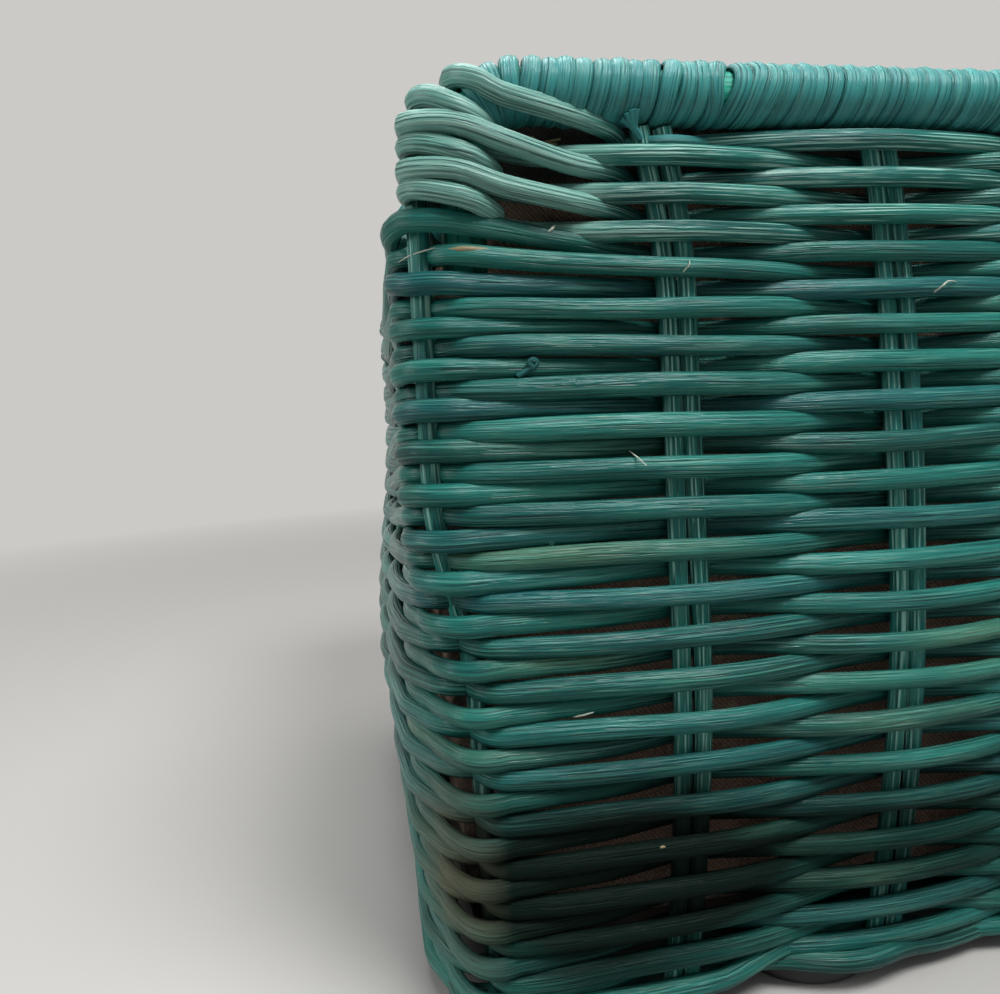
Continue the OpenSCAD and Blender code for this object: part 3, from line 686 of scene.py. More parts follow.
def weave_walls():
    """The rows that run right round, cut into the four walls at the corners' middles."""
    tubes = {w.name: Tubes() for w in WALLS}
    close_up = [w.name in ("front", "left") for w in WALLS]
    for row in range(-1, LOWER_ROWS):
        seeds = rng.random(2) * 2 * math.pi
        size = 1 + 0.12 * (rng.random() - 0.5)
        tone = strand_tone()
        tall = STRAND_TALL + (UPPER_TALL - STRAND_TALL) * smooth_step((row - THIN_FROM) / THIN_OVER)
        lengths = [wall_length(w, corner_radius(row)) for w in WALLS]
        around = sum(lengths)
        start_s = np.array([0, lengths[0], lengths[0] + lengths[1] - around, -lengths[3]])
        courses = [wall_course(w, row, CLOSE_STEP if near else FAR_STEP, seeds, s, around)
                   for w, near, s in zip(WALLS, close_up, start_s)]
        runs = [np.linalg.norm(np.diff(c, axis=0), axis=1).sum() for c in courses]
        grain_starts = (0, runs[0], -runs[3] - runs[2], -runs[3])
        ring = np.vstack([c[:-1] for c in courses])
        tangents = np.roll(ring, -1, axis=0) - np.roll(ring, 1, axis=0)
        first = 0
        for wall, near, course, s in zip(WALLS, close_up, courses, grain_starts):
            index = np.arange(first, first + len(course)) % len(ring)
            first += len(course) - 1
            swell = 1 + 0.04 * np.sin(7 * 2 * math.pi * index / len(ring) + seeds[0])
            tubes[wall.name].add(ring[index], tall * size * swell, STRAND_DEEP * size,
                                 CLOSE_SIDES if near else FAR_SIDES, tone, ends=(False, False),
                                 along=s * MM, tangent=tangents[index])
    for name, made in tubes.items():
        made.make(f"{name}_strands", reed, slot="reed", replaces=[f"{name}_weave"])


weave_walls()


def stakes():
    """Paired stakes in the walls and single ones in the corners."""
    made = Tubes()
    top_front = UPPER_TOP + 0.6
    for wall in WALLS:
        side = wall.name in ("left", "right")
        z = np.linspace(FOOT_H - 0.5, LOWER_TOP + 1 if side else top_front, 30)
        for a in stake_places(wall.count, wall.pitch):
            for apart in (-STAKE_APART, STAKE_APART):
                waver = 0.12 * np.sin(z * 0.09 + rng.random() * 6)
                x = a + apart + (0 if side else stake_lean(a, z)) + waver
                forward = np.zeros_like(z) if side else STAKE_FORWARD + bulge_at(x, z)
                plan = x[:, None] * wall.along + (wall.out + forward)[:, None] * wall.outward
                made.add(np.column_stack([plan, z]), STAKE_DEEP, STAKE_R, 10, strand_tone(),
                         up=(*wall.outward, 0))
    for sx in (-1, 1):
        for sy in (-1, 1):
            z = np.linspace(FOOT_H - 0.5, UPPER_TOP - 4, 30)
            radius = corner_radius((z - FOOT_H) / ROW_PITCH)
            pinched = smooth_step((PINCH_TOP - z) / (PINCH_TOP - PINCH_FULL))
            inset = radius * (1 - math.sqrt(0.5)) + CORNER_STAKE_IN * pinched
            made.add(np.column_stack([sx * (WALL_X - inset), sy * (WALL_Y - inset), z]),
                     CORNER_STAKE_R, CORNER_STAKE_R, 10, strand_tone(), up=(sx, sy, 0))
    made.make("stakes", stake_reed, slot="reed")


stakes()


# The upper rows: one weaver that goes to and fro, turned twice round the frame's leg at each end

LEG_X = WALL_X - 7.7
LEG_LEAN = 2.8
LOOP_DEEP = 4.4
LOOP_OUTER = LEG_X + 7.6
LOOP_INNER = LEG_X - 4.0
# Heights of each double turn: the first pass over the leg at the outer side, at the inner side and beyond it,
# then the second pass at the inner side and at the outer side
TURN_HEIGHTS = ((134.4, 131.6, 130.2, 127.8, 131.9), (128.6, 125.9, 123.9, 122.7, 126.1),
                (122.9, 120.2, 119.0, 117.4, 120.5))
# The uppermost turns slip inwards over the bend
TURN_INSETS = ((6.4, 1.8), (0.3, 0.2), (0.0, 0.0))
# An upper row lies flat over this half width at a stake, and so far out between stakes
FLAT_HALF, BETWEEN_OUT = 3.2, 0.9
# Seeds of the grain of the strands that run on over many turns
UPPER_SEED, RIM_SEED, LID_SEED = 0.37, 0.61, 0.23


def leg_turn(side, level, come, go):
    """Points of a strand that comes from a row, turns round the leg twice and goes on as another row."""
    outer, inner, beyond, second_inner, second_outer = TURN_HEIGHTS[level]
    first_x, second_x = (LOOP_OUTER - inset for inset in TURN_INSETS[level])
    front, back = -WALL_Y - LOOP_DEEP, -WALL_Y + LOOP_DEEP
    steep = 0.55 if level == 0 else 0.72
    points = [
        (LEG_X - 20, -WALL_Y - 0.2, come + 0.5 * (beyond - come)),
        (LEG_X - 13, -WALL_Y - 2.4, beyond),
        (LEG_X - 4.5, front, inner),
        ((LEG_X - 4.5 + first_x) / 2, front - 0.1, inner + steep * (outer - inner)),
        (first_x - 0.7, front + 1.6, inner + 0.92 * (outer - inner)),
        (first_x, -WALL_Y, outer),
        (first_x - 1.8, back - 1.2, outer - 0.2 * (outer - second_inner)),
        (LEG_X, back, (outer + second_inner) / 2),
        (LOOP_INNER + 1.2, back - 1.5, second_inner + 0.25 * (outer - second_inner)),
        (LOOP_INNER, -WALL_Y - 0.6, second_inner),
        (LOOP_INNER + 2.2, front + 0.9, second_inner + 0.2 * (second_outer - second_inner)),
        (LEG_X + 1.0, front, second_inner + 0.5 * (second_outer - second_inner)),
        (second_x - 1.6, front + 1.6, second_inner + 0.93 * (second_outer - second_inner)),
        (second_x, -WALL_Y, second_outer),
        (second_x - 1.8, back - 1.2, second_outer - 0.6),
        (LEG_X, back, go + 0.55 * (second_outer - go)),
        (LEG_X - 9, -WALL_Y + 2.6, go + 0.2 * (second_outer - go)),
        (LEG_X - 15, -WALL_Y - 0.4, go + 0.06 * (second_outer - go)),
    ]
    return [(side * x, y, z) for x, y, z in points]


def upper_row(row):
    """Points of an upper row between its outermost stakes, from left to right."""
    places = stake_places(FRONT_STAKES, FRONT_STAKE_PITCH)
    z = row_height(row, WALL_X - np.abs(places))
    x = places + stake_lean(places, z)
    points = []
    for i in range(FRONT_STAKES):
        offset = WEAVE_OUT if (1 + i + row) % 2 == 1 else -WEAVE_OUT
        for dx in (-FLAT_HALF, 0, FLAT_HALF):
            points.append((x[i] + dx, -WALL_Y - offset, z[i]))
        if i + 1 < FRONT_STAKES:
            points.append(((x[i] + x[i + 1]) / 2, -WALL_Y - BETWEEN_OUT, (z[i] + z[i + 1]) / 2))
    return points


def upper_weaver():
    """The whole course of that weaver, from the top row's right end down to the last row's right end."""
    points = []
    rows = list(range(ROWS - 1, LOWER_ROWS - 1, -1))
    for n, row in enumerate(rows):
        going_left = n % 2 == 0
        course = upper_row(row)
        points += course[::-1] if going_left else course
        if n + 1 < len(rows):
            side = -1 if going_left else 1
            level = n // 2
            come, go = course[0 if going_left else -1][2], upper_row(rows[n + 1])[0 if going_left else -1][2]
            points += leg_turn(side, level, come, go)
    last = points[-1]
    points += leg_turn(1, 2, last[2], last[2] - ROW_PITCH)[:12]
    first = points[0]
    points = leg_turn(1, 0, first[2], first[2])[:12][::-1] + points
    return smooth_path(points, 1.6)


def upper_weave():
    course = upper_weaver()
    share = np.linspace(0, 1, len(course))
    for name, mirror in (("front", 1), ("rear", -1)):
        made = Tubes()
        changes = np.linspace(0, 1, 4 * UPPER_ROWS)
        tone = np.column_stack([np.interp(share, changes, rng.random(len(changes))),
                                np.interp(share, changes, rng.random(len(changes))),
                                np.full(len(course), UPPER_SEED)])
        made.add(course * np.array([1, mirror, 1]), UPPER_TALL, STRAND_DEEP,
                 CLOSE_SIDES if mirror > 0 else FAR_SIDES, tone)
        made.make(f"{name}_upper_strands", worn_reed, slot="reed",
                  replaces=[f"{name}_upper_weave", f"{name}_left_turns", f"{name}_right_turns"])


upper_weave()


# Frames: the rod bent down at the corners, and the cane wrapped round its top

ROD_R = 3.1
BEND_R = 8.0
BEND_X = LEG_X - BEND_R
BEND_WRAPPED = math.radians(60)
WRAP_WIDE = 1.36
WRAP_TALL = 0.72
WRAP_PITCH = 2.4
WRAP_SLANT = 0.5
# Where turns slipped apart on the front: place along X, width of the gap, angle up from the foremost line
SLIPS = ((-85.6, 0.7, 0.3), (-77.4, 1.3, 0.35), (-73.2, 0.7, 0.5))


def frame_rods():
    leg_low = LOWER_TOP - 1.0
    for name, mirror in (("front", -1), ("rear", 1)):
        turn = np.linspace(0, math.pi / 2, 10)
        z = np.concatenate([RIM_Z - BEND_R * (1 - np.cos(turn)), np.linspace(RIM_Z - BEND_R - 2, leg_low, 6)])
        x = np.concatenate([BEND_X + BEND_R * np.sin(turn), np.full(6, LEG_X)])
        lean = LEG_LEAN * np.clip((RIM_Z - BEND_R / 2 - z) / (RIM_Z - BEND_R / 2 - leg_low), 0, 1)
        half = np.column_stack([x, mirror * (WALL_Y - lean), z])
        path = np.vstack([half[::-1] * np.array([-1, 1, 1]), [[0, mirror * WALL_Y, RIM_Z]], half])
        made = Tubes()
        made.add(path, ROD_R, ROD_R, 16, strand_tone(), up=(0, 1, 0))
        made.make(f"{name}_rod", rod_reed, slot="rod", replaces=[f"{name}_frame_rod"])


def rod_frame(s):
    """Centre of the rod's top and the direction away from the bag, at a length s measured from the middle."""
    turn = np.clip((np.abs(s) - BEND_X) / BEND_R, 0, None)
    straight = np.clip(s, -BEND_X, BEND_X)
    x = straight + np.sign(s) * BEND_R * np.sin(turn)
    z = RIM_Z - BEND_R * (1 - np.cos(turn))
    return x, z, np.sign(s) * np.sin(turn), np.cos(turn)


def rim_wraps():
    """A helix of cane, each turn pressed against the next, with a few slipped turns at the front left."""
    half = BEND_X + BEND_R * BEND_WRAPPED
    turns = int(2 * half / WRAP_PITCH)
    for name, mirror, per_turn, segments in (("front", -1, 34, 8), ("rear", 1, 22, 6)):
        t = np.linspace(0, turns, turns * per_turn + 1)
        angle = -t * 2 * math.pi
        s = -half + t * WRAP_PITCH + 0.2 * np.sin(t * 1.7) + WRAP_SLANT * np.cos(angle)
        if mirror < 0:
            for at, gap, rise in SLIPS:
                facing = np.clip(np.sin(angle + rise), 0, 1) ** 2
                s = s + facing * gap * np.tanh((s - at) / 0.8) * np.exp(-((s - at) / 5) ** 2)
        x, z, away_x, away_z = rod_frame(s)
        r = ROD_R + WRAP_TALL * 0.75 + 0.12 * np.sin(t * 2.3)
        path = np.column_stack([x + r * np.cos(angle) * away_x, mirror * (WALL_Y + r * np.sin(angle)),
                                z + r * np.cos(angle) * away_z])
        along_rod = np.column_stack([away_z, np.zeros_like(s), -away_x])
        made = Tubes()
        made.add(path, WRAP_WIDE, WRAP_TALL, segments, turn_tones(t, turns, RIM_SEED), up=along_rod)
        made.make(f"{name}_rim_turns", wrap_reed, slot="cane_wrap", replaces=[f"{name}_rim_wrap"])


frame_rods()
rim_wraps()


# Loose ends and fibres on the front, placed by X and Z and laid on what carries them

fibre_pale = plain_material("pale_fibre", (0.36, 0.39, 0.32), 0.6, 2500.0, 0.0001)
fibre_tan = plain_material("tan_fibre", (0.19, 0.15, 0.075), 0.6, 2500.0, 0.0001)
# Each: points in X and Z, lift off the reed at each point, thickness
PALE_FIBRES = (
    (((-84.2, 110.5), (-84.9, 109.6), (-85.1, 108.3), (-84.9, 107.2)), (0.1, 1.0, 1.0, 0.1), 0.13),
    (((-118.4, 113.2), (-120.2, 112.9), (-121.8, 112.6), (-123.0, 112.4)), (0.1, 0.2, 0.2, 0.1), 0.13),
    (((-46.4, 104.6), (-46.8, 106.0), (-45.4, 106.9), (-43.4, 107.0)), (0.1, 0.9, 0.8, 0.1), 0.14),
    (((-93.0, 85.3), (-92.9, 84.4), (-92.3, 83.4)), (0.1, 1.2, 1.6), 0.11),
    (((-103.3, 114.9), (-102.8, 115.3), (-102.1, 116.0)), (0.0, 0.3, 0.8), 0.22),
    (((-103.8, 48.4), (-102.6, 48.7), (-101.0, 49.3)), (0.0, 0.3, 0.9), 0.16),
    (((-114.6, 8.6), (-114.5, 9.4), (-114.7, 10.2)), (0.1, 0.4, 0.9), 0.12),
)
TAN_FIBRES = (
    (((-105.3, 127.0), (-103.2, 127.2), (-100.7, 127.3)), (0.1, 0.3, 0.6), 0.32),
    (((-104.6, 127.7), (-103.0, 127.0), (-101.4, 126.5)), (0.3, 0.5, 0.8), 0.22),
    (((-118.3, 112.6), (-115.5, 112.6), (-113.0, 112.5), (-110.8, 112.4)), (-0.36, -0.36, -0.36, -0.4), 0.5),
    (((-91.6, 28.2), (-91.2, 28.3), (-90.8, 28.2)), (-0.1, 0.0, -0.1), 0.22),
)
# Curled knots on the reed, by X, Z and size, and the course of the curl from its tail
KNOTS = ((-106.7, 97.3, 1.0), (-105.2, 73.1, 0.55))
CURL = ((-1.9, -1.2, 0.1), (-1.0, -0.7, 0.2), (-0.2, -0.25, 0.3), (0.5, 0.0, 0.5), (0.75, 0.5, 0.6),
        (0.3, 0.85, 0.6), (-0.25, 0.6, 0.5), (0.0, 0.15, 0.5), (0.5, -0.25, 0.2))
CURL_R = 0.4
# A binding strand under the rim at the first stake, and the fluted end beside it
BINDING_X, BINDING_Z = (-91.2, -79.2), 127.2
FLUTES = ((-90.9, 130.4), (-91.5, 130.3), (-92.1, 130.0), (-92.6, 129.5))


def front_surface():
    """A function that gives the foremost reed at a place on the front, in millimetres."""
    graph = bpy.context.evaluated_depsgraph_get()
    trees = [BVHTree.FromObject(bpy.data.objects[name], graph)
             for name in ("front_strands", "left_strands", "front_upper_strands", "stakes",
                          "front_rim_turns")]

    def foremost(x, z):
        hits = [t.ray_cast(Vector((x, -200, z)) * MM, Vector((0, 1, 0)), 0.2)[0] for t in trees]
        return min([hit.y / MM for hit in hits if hit] or [-WALL_Y])
    return foremost


def loose_ends():
    foremost = front_surface()
    for name, fibres, material in (("pale_fibres", PALE_FIBRES, fibre_pale),
                                   ("tan_fibres", TAN_FIBRES, fibre_tan)):
        made = Tubes()
        for places, lifts, thick in fibres:
            path = smooth_path([(x, foremost(x, z) - lift, z) for (x, z), lift in zip(places, lifts)], 0.3)
            taper = thick * (0.35 + 0.65 * np.sin(np.pi * np.linspace(0.12, 0.95, len(path))))
            made.add(path, taper, taper, 6, (0.5, 0.5, 0.5))
        made.make(name, material, slot="reed")
    made = Tubes()
    for x, z, size in KNOTS:
        y = foremost(x, z)
        points = [(x + size * dx, y - size * lift, z + size * dz) for dx, dz, lift in CURL]
        made.add(smooth_path(points, 0.25), CURL_R * size, CURL_R * size, 8, strand_tone(), up=(0, 1, 0))
    made.make("reed_knots", reed, slot="reed")
    made = Tubes()
    x = np.linspace(*BINDING_X, 7)
    y = min(foremost(a, BINDING_Z) for a in x[1:-1]) - 0.3
    bow = np.sin(np.pi * np.linspace(0, 1, 7))
    path = np.column_stack([x, y + 2.5 * (1 - bow), BINDING_Z - 0.3 * bow])
    made.add(smooth_path(path, 0.8), 0.75, 0.6, 8, strand_tone())
    for end_x, end_z in FLUTES:
        points = [(BINDING_X[0] + 1.3, y + 0.2, BINDING_Z - 0.2),
                  (BINDING_X[0] + 0.4, y - 0.2, BINDING_Z + 1.0),
                  (end_x, min(y, foremost(end_x, end_z)) - 0.3, end_z)]
        made.add(smooth_path(points, 0.5), 0.45, 0.5, 8, strand_tone(), up=(0, 1, 0))
    made.make("rim_binding", wrap_reed, slot="cane_wrap")


loose_ends()


# The borders' ends reach the corner stakes
BORDER_END_Y = WALL_Y - 4.5
BORDER_WRAP_WIDE, BORDER_WRAP_T = 1.4, 0.9


def side_borders():
    """Cane turned round the top of each low side wall."""
    for name in ("left", "right"):
        low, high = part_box(f"{name}_border")
        low, high = np.array(low) / MM, np.array(high) / MM
        low[1], high[1] = -BORDER_END_Y, BORDER_END_Y
        middle = (low + high) / 2
        radius = (high[2] - low[2]) / 2
        turns = int((high[1] - low[1]) / WRAP_PITCH)
        t = np.linspace(0, turns, turns * 16 + 1)
        angle = t * 2 * math.pi
        r = radius - BORDER_WRAP_T
        made = Tubes()
        y = low[1] + 0.6 + t * (high[1] - low[1] - 1.2) / turns
        path = np.column_stack([middle[0] + r * np.cos(angle), y, middle[2] + r * np.sin(angle)])
        made.add(path, BORDER_WRAP_WIDE, BORDER_WRAP_T, 6, strand_tone(), up=(0, 1, 0))
        core = [[middle[0], y, middle[2]] for y in (low[1] + 0.3, middle[1], high[1] - 0.3)]
        made.add(core, radius - 1.2, radius - 1.2, 10, strand_tone())
        made.make(f"{name}_border_turns", wrap_reed, slot="cane_wrap", replaces=[f"{name}_border"])


side_borders()


# Lid: a rod bent into a frame, wrapped with cane, and a woven panel in it; the base is a panel too

rod_low, rod_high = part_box("lid_rod")
LID_Z = (rod_low.z + rod_high.z) / 2 / MM
LID_ROD_R = (rod_high.z - rod_low.z) / 2 / MM
LID_SLACK = 2.0
LID_X = rod_high.x / MM - LID_ROD_R - LID_SLACK
LID_Y = rod_high.y / MM - LID_ROD_R
LID_EDGE_R = (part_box("lid_wrap")[1].z / MM) - LID_Z
LID_TURN_R = 8.0
LID_WRAP_T = 0.7
LID_REED_R = 1.2
LID_ROWS = 34
hinge_low, hinge_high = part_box("hinge_loop_right")
HINGE_HALF_W = (hinge_high.x - hinge_low.x) / 2 / MM
HINGE_X = (hinge_high.x + hinge_low.x) / 2 / MM


def rounded_course(half_x, half_y, radius, s):
    """Points and outward directions on a rounded rectangle, at lengths s from the middle of its front."""
    straight_x, straight_y, arc = half_x - radius, half_y - radius, math.pi / 2 * radius
    runs = [straight_x, arc, 2 * straight_y, arc, 2 * straight_x, arc, 2 * straight_y, arc, straight_x]
    headings = [0, 90, 180, 270, 360]
    starts = np.concatenate([[0], np.cumsum(runs)])
    s = np.mod(s, starts[-1])
    i = np.clip(np.searchsorted(starts, s, side="right") - 1, 0, len(runs) - 1)
    gone = s - starts[i]
    is_arc = i % 2 == 1
    heading = np.radians(np.array(headings)[i // 2] + np.where(is_arc, 90 * gone / arc, 0))
    away = np.column_stack([np.sin(heading), -np.cos(heading)])
    ahead = np.column_stack([np.cos(heading), np.sin(heading)])
    corner_x = np.array([0, 1, 1, 1, 1, -1, -1, -1, -1])[i] * straight_x
    corner_y = np.array([-1, -1, -1, 1, 1, 1, 1, -1, -1])[i] * straight_y
    base = np.column_stack([corner_x, corner_y]) + radius * away
    return base + np.where(is_arc, 0, gone)[:, None] * ahead, away, ahead


def course_length(half_x, half_y, radius):
    return 4 * (half_x + half_y) - 8 * radius + 2 * math.pi * radius


def lid_frame():
    around = course_length(LID_X, LID_Y, LID_TURN_R)
    s = np.linspace(0, around, 161)
    plan, away, ahead = rounded_course(LID_X, LID_Y, LID_TURN_R, s)
    rod = Tubes()
    rod.add(np.column_stack([plan, np.full(len(s), LID_Z)]), LID_ROD_R, LID_ROD_R, 12, strand_tone(),
            tangent=np.column_stack([ahead, np.zeros(len(s))]), ends=(False, False))
    rod.make("lid_frame_rod", stake_reed, body="lid", slot="rod", replaces=["lid_rod"])

    turns = int(around / WRAP_PITCH)
    t = np.linspace(0, turns, turns * 14 + 1)
    plan, away, ahead = rounded_course(LID_X, LID_Y, LID_TURN_R, t * around / turns)
    angle = t * 2 * math.pi
    r = LID_EDGE_R - LID_WRAP_T
    path = np.column_stack([plan + (r * np.cos(angle))[:, None] * away, LID_Z + r * np.sin(angle)])
    free = (plan[:, 1] < 0) | (np.abs(np.abs(plan[:, 0]) - HINGE_X) > HINGE_HALF_W + 0.6)
    tone = turn_tones(t, turns, LID_SEED)
    wrap = Tubes()
    for run in np.split(np.arange(len(t)), np.flatnonzero(np.diff(free.astype(int))) + 1):
        if free[run[0]] and len(run) > 2:
            along_rod = np.column_stack([ahead[run], np.zeros(len(run))])
            wrap.add(path[run], WRAP_WIDE, LID_WRAP_T, 6, tone[run], up=along_rod)
    wrap.make("lid_edge_turns", wrap_reed, body="lid", slot="cane_wrap", replaces=["lid_wrap"])


def panel(half_x, places, x, row_y, middle, swing, thick, wide, easing):
    """Tubes of a flat panel: rows along X that pass over and under stakes at the given places."""
    knots = np.concatenate([[-half_x], places, [half_x]])
    i, t = between(knots, x)
    made = Tubes()
    for row, y in enumerate(row_y):
        level = np.array([1 if (k + row) % 2 else -1 for k in range(len(knots))]) * swing
        level[0] = level[-1] = 0
        z = middle + level[i] + (level[i + 1] - level[i]) * easing(t)
        made.add(np.column_stack([x, y, z]), thick, wide, 8, strand_tone())
    return made


def lid_panel():
    """Thin reed woven over single stakes, front to back."""
    half_x, half_y = LID_X - LID_EDGE_R + 0.6, LID_Y - LID_EDGE_R + 0.4
    places = stake_places(FRONT_STAKES, FRONT_STAKE_PITCH)
    x = np.linspace(-half_x, half_x, 78)
    pitch = 2 * (half_y - LID_REED_R) / (LID_ROWS - 1)
    row_y = [-half_y + LID_REED_R + row * pitch + 0.15 * np.sin(x * 0.06 + row * 1.9)
             for row in range(LID_ROWS)]
    made = panel(half_x, places, x, row_y, LID_Z, 1.8 * LID_REED_R, LID_REED_R, pitch * 0.56, half_eased)
    for place_x in places:
        course = [[place_x, y, LID_Z] for y in np.linspace(-half_y, half_y, 12)]
        made.add(course, LID_REED_R * 0.9, 1.4, 8, strand_tone())
    made.make("lid_strands", reed, body="lid", slot="reed", replaces=["lid_weave"])


def base_panel():
    """The base, woven over the paired stakes that turn in under the bag."""
    low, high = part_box("base_weave")
    half_x, half_y = high.x / MM - 0.4, high.y / MM - 0.4
    middle, half_t = (low.z + high.z) / 2 / MM, (high.z - low.z) / 2 / MM
    count = int(2 * half_y / ROW_PITCH)
    pitch = 2 * half_y / count
    thick = 0.55 * half_t
    places = stake_places(FRONT_STAKES, FRONT_STAKE_PITCH)
    x = np.linspace(-half_x, half_x, 80)
    row_y = [-half_y + (row + 0.5) * pitch + 0.15 * np.sin(x * 0.05 + row * 2.3) for row in range(count)]
    made = panel(half_x, places, x, row_y, middle, half_t - thick, thick, pitch * 0.52, smooth_step)
    for place_x in places:
        for apart in (-STAKE_APART, STAKE_APART):
            course = [[place_x + apart, y, middle] for y in np.linspace(-half_y, half_y, 12)]
            made.add(course, thick * 0.8, 1.3, 8, strand_tone())
    made.make("base_strands", reed, slot="reed", replaces=["base_weave"])


lid_frame()
lid_panel()
base_panel()


# Cloth

CLOTH_T = 0.8
CLOTH_TURN_R = 10.0
# How far the cloth waves, and its share of the walls' swelling
CLOTH_WAVE, CLOTH_SWELL = 0.25, 0.85
FLAP_TOP = RIM_Z
# The flaps lie back against the upper rows, clear of the open lid
FLAP_BACK = 1.1
# How far before the wall a flap starts to rise in the corners, and over what length: the rear one leaves room
# for the lid
FLAP_RISE_FRONT, FLAP_RISE_REAR = (7.0, 4.0), (3.5, 3.0)


def cloth(name, points, faces, body, node):
    """A piece of twill that stands for a CAD node; its quads are shaded smooth."""
    mesh = bpy.data.meshes.new(name)
    mesh.from_pydata([tuple(p) for p in points], [], [tuple(f) for f in faces])
    mesh.polygons.foreach_set("use_smooth", [len(f) == 4 for f in faces])
    return place(name, mesh, twill, body, [node])


def lining():
    """The cloth sewn in as a box: low at the sides, and up to the rims at the front and the rear."""
    low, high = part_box("lining")
    half_x, half_y = high.x / MM, high.y / MM
    bottom, side_top = low.z / MM, high.z / MM
    around = course_length(half_x, half_y, CLOTH_TURN_R)
    s = np.linspace(0, around, 301)[:-1]
    levels = np.linspace(0, 1, 22)
    rings = []
    for inset, order in ((0.0, levels), (CLOTH_T, levels[::-1])):
        plan, away = rounded_course(half_x, half_y, CLOTH_TURN_R, s)[:2]
        start, width = np.where(plan[:, 1:] > 0, FLAP_RISE_REAR, FLAP_RISE_FRONT).T
        flap = smooth_step((np.abs(plan[:, 1]) - half_y + start) / width)
        top = side_top + (FLAP_TOP - side_top) * flap
        for level in order:
            z = bottom + inset * (level == 0) + level * (top - bottom)
            above = flap * smooth_step((z - LOWER_TOP) / 4)
            wave = np.sin(s * 0.16 + 5 * level) * np.sin(math.pi * level) * (1 - above)
            ripple = CLOTH_WAVE * wave + CLOTH_WAVE
            swell = CLOTH_SWELL * bulge_at(plan[:, 0], z) * np.abs(away[:, 1]) + FLAP_BACK * above
            at = plan + away * (swell - inset - ripple)[:, None]
            rings.append(np.column_stack([at, z]))
    n = len(s)
    points = slump(np.vstack(rings) * MM)
    faces = []
    for ring in range(len(rings) - 1):
        for k in range(n):
            a, b = ring * n + k, ring * n + (k + 1) % n
            faces.append((a, b, b + n, a + n))
    faces.append(tuple(range(n - 1, -1, -1)))
    faces.append(tuple((len(rings) - 1) * n + k for k in range(n)))
    obj = cloth("cloth_lining", points, faces, "basket", "lining")


def lid_cloth():
    """A flat cloth under the lid, slightly slack between its sewn edges."""
    low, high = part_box("lid_lining")
    nx, ny = 60, 26
    x = np.linspace(low.x, high.x, nx)
    y = np.linspace(low.y, high.y, ny)
    gx, gy = np.meshgrid(x, y, indexing="ij")
    inside = np.outer(*(np.sin(math.pi * np.arange(n) / (n - 1)) for n in (nx, ny)))
    slack = 0.25 * MM * inside * (1 + np.sin(gx * 90) * np.sin(gy * 120))
    upper = slump(np.stack([gx, gy, np.full_like(gx, high.z) - slack], -1).reshape(-1, 3))
    under = slump(np.stack([gx, gy, np.full_like(gx, low.z) - slack], -1).reshape(-1, 3))
    grid = np.arange(nx * ny).reshape(nx, ny)
    a, b, c, d = grid[:-1, :-1], grid[1:, :-1], grid[1:, 1:], grid[:-1, 1:]
    top = np.stack([a, b, c, d], -1).reshape(-1, 4)
    border = np.concatenate([grid[:, 0], grid[-1, 1:], grid[-2::-1, -1], grid[0, -2:0:-1]])
    after = np.roll(border, -1)
    edge = np.stack([border + nx * ny, after + nx * ny, after, border], -1)
    faces = np.vstack([top, top[:, ::-1] + nx * ny, edge])
    obj = cloth("lid_cloth", np.vstack([upper, under]), faces, "lid", "lid_lining")


lining()
lid_cloth()


# Pieces that keep their CAD shape get their materials

def dress(material, *nodes):
    for name in nodes:
        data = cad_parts[name].data
        data.materials.clear()
        data.materials.append(material)


dress(cad_wrap, "hinge_loop_left", "hinge_loop_right", "handle_loop_left", "handle_loop_right",
      "handle_wrap")
dress(cad_rod, "handle_rod")
dress(board, "base_board")
dress(black, "foot_front_left", "foot_front_right", "foot_rear_left", "foot_rear_right",
      "wall_magnet", "tab_magnet")
dress(leather, "closing_tab")
dress(steel, "foot_screws", "tab_rivets")


# Stage, light and camera

FLOOR_COLOUR = (0.365, 0.357, 0.344)
BACKDROP_COLOUR = (0.60, 0.59, 0.565)
# In metres: the distance from the bag over which the floor turns into the backdrop's colour, the floor's
# front edge, the backdrop's place and top, and half their width
FLOOR_FADE = (0.2, 0.7)
FLOOR_Y, BACKDROP_Y, BACKDROP_TOP = -3.0, 1.3, 3.0
STAGE_HALF_X = 5.0


def seen(shader):
    """1 for what the camera sees, also by gloss or through glass, and 0 for what lights the bag."""
    path = shader.node("ShaderNodeLightPath").outputs
    glossy = shader.math("MAXIMUM", path["Is Camera Ray"], path["Is Glossy Ray"])
    return shader.math("MAXIMUM", glossy, path["Is Transmission Ray"])


def stage_piece(name, low_edge, high_edge, material):
    """A wide sheet between two level edges, each given by its place in Y and Z."""
    mesh = bpy.data.meshes.new(name)
    mesh.from_pydata([(x, y, z) for y, z in (low_edge, high_edge) for x in (-STAGE_HALF_X, STAGE_HALF_X)], [],
                     [(0, 1, 3, 2)])
    mesh.materials.append(material)
    add_object(name, mesh)


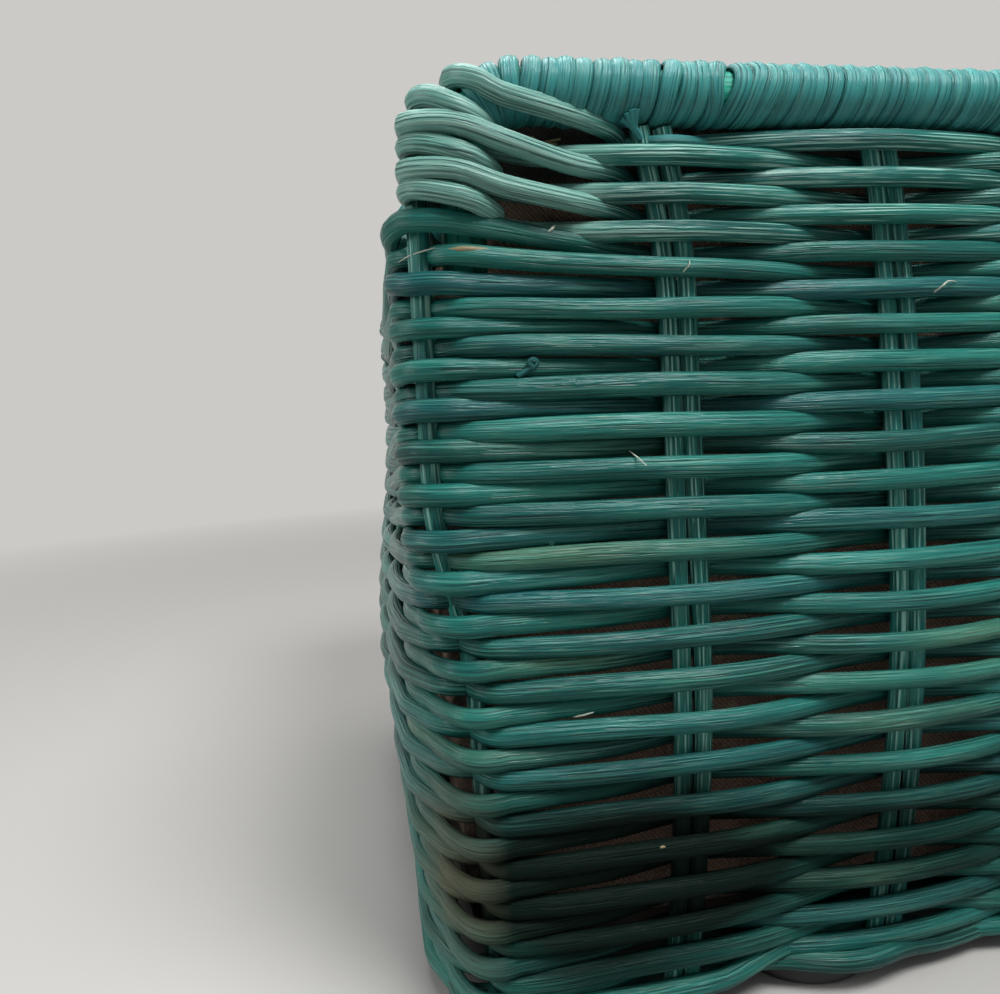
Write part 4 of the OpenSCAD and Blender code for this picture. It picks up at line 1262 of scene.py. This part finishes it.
def stage():
    """A pale floor, and a backdrop far behind it that shows its own pale grey to the camera and to gloss."""
    floor = Shader("pale_floor")
    at = floor.node("ShaderNodeTexCoord").outputs["Object"]
    distance = floor.node("ShaderNodeVectorMath", {0: at}, operation="LENGTH").outputs["Value"]
    far = floor.range(distance, *FLOOR_FADE)
    floor.set(Base_Color=floor.mix(far, FLOOR_COLOUR, (0.0, 0.0, 0.0)), Roughness=0.7, Specular_IOR_Level=0.0,
              Emission_Color=BACKDROP_COLOUR, Emission_Strength=floor.times(far, seen(floor)))
    stage_piece("floor", (FLOOR_Y, 0.0), (BACKDROP_Y, 0.0), floor.material)
    wall = Shader("pale_backdrop")
    wall.set(Base_Color=(0.0, 0.0, 0.0), Specular_IOR_Level=0.0, Emission_Color=BACKDROP_COLOUR,
             Emission_Strength=seen(wall))
    stage_piece("backdrop", (BACKDROP_Y, -0.1), (BACKDROP_Y, BACKDROP_TOP), wall.material)


def area_light(name, place_m, aim_m, size, power):
    data = bpy.data.lights.new(name, "AREA")
    data.shape = "DISK"
    data.size = size
    data.energy = power
    obj = add_object(name, data)
    obj.location = place_m
    obj.rotation_euler = (Vector(aim_m) - Vector(place_m)).to_track_quat("-Z", "Y").to_euler()


def camera(place_mm, heading, pitch, roll, focal_px, image_w):
    """Heading is turned from +Y towards +X, pitch is up, roll lifts the right side."""
    data = bpy.data.cameras.new("camera")
    data.sensor_width = 36.0
    data.lens = data.sensor_width * focal_px / image_w
    data.clip_start = 0.01
    h, p = math.radians(heading), math.radians(pitch)
    forward = Vector((math.sin(h) * math.cos(p), math.cos(h) * math.cos(p), math.sin(p)))
    right = forward.cross(Vector((0, 0, 1))).normalized()
    up = right.cross(forward)
    r = math.radians(roll)
    right, up = right * math.cos(r) + up * math.sin(r), up * math.cos(r) - right * math.sin(r)
    turn = Matrix((right, up, -forward)).transposed()
    obj = add_object("camera", data)
    obj.matrix_world = Matrix.Translation(Vector(place_mm) * MM) @ turn.to_4x4()
    bpy.context.scene.camera = obj


stage()
world = bpy.data.worlds.new("studio")
world.use_nodes = True
sky = world.node_tree.nodes["Background"].inputs
sky["Color"].default_value = (0.97, 0.98, 1.0, 1)
sky["Strength"].default_value = 0.42
bpy.context.scene.world = world
area_light("key", (0.03, -0.24, 0.46), aim_m=(-0.07, -0.06, 0.09), size=0.2, power=2.8)
area_light("top", (-0.10, 0.10, 0.65), aim_m=(-0.08, 0, 0.08), size=0.35, power=3.0)
area_light("left", (-0.75, -0.1, 0.35), aim_m=(-0.12, 0, 0.06), size=0.4, power=2.8)
camera((-130.8, -171.1, 91.2), heading=10.29, pitch=-5.9, roll=-2.89, focal_px=799, image_w=1000)
bpy.context.scene.view_settings.view_transform = "Standard"
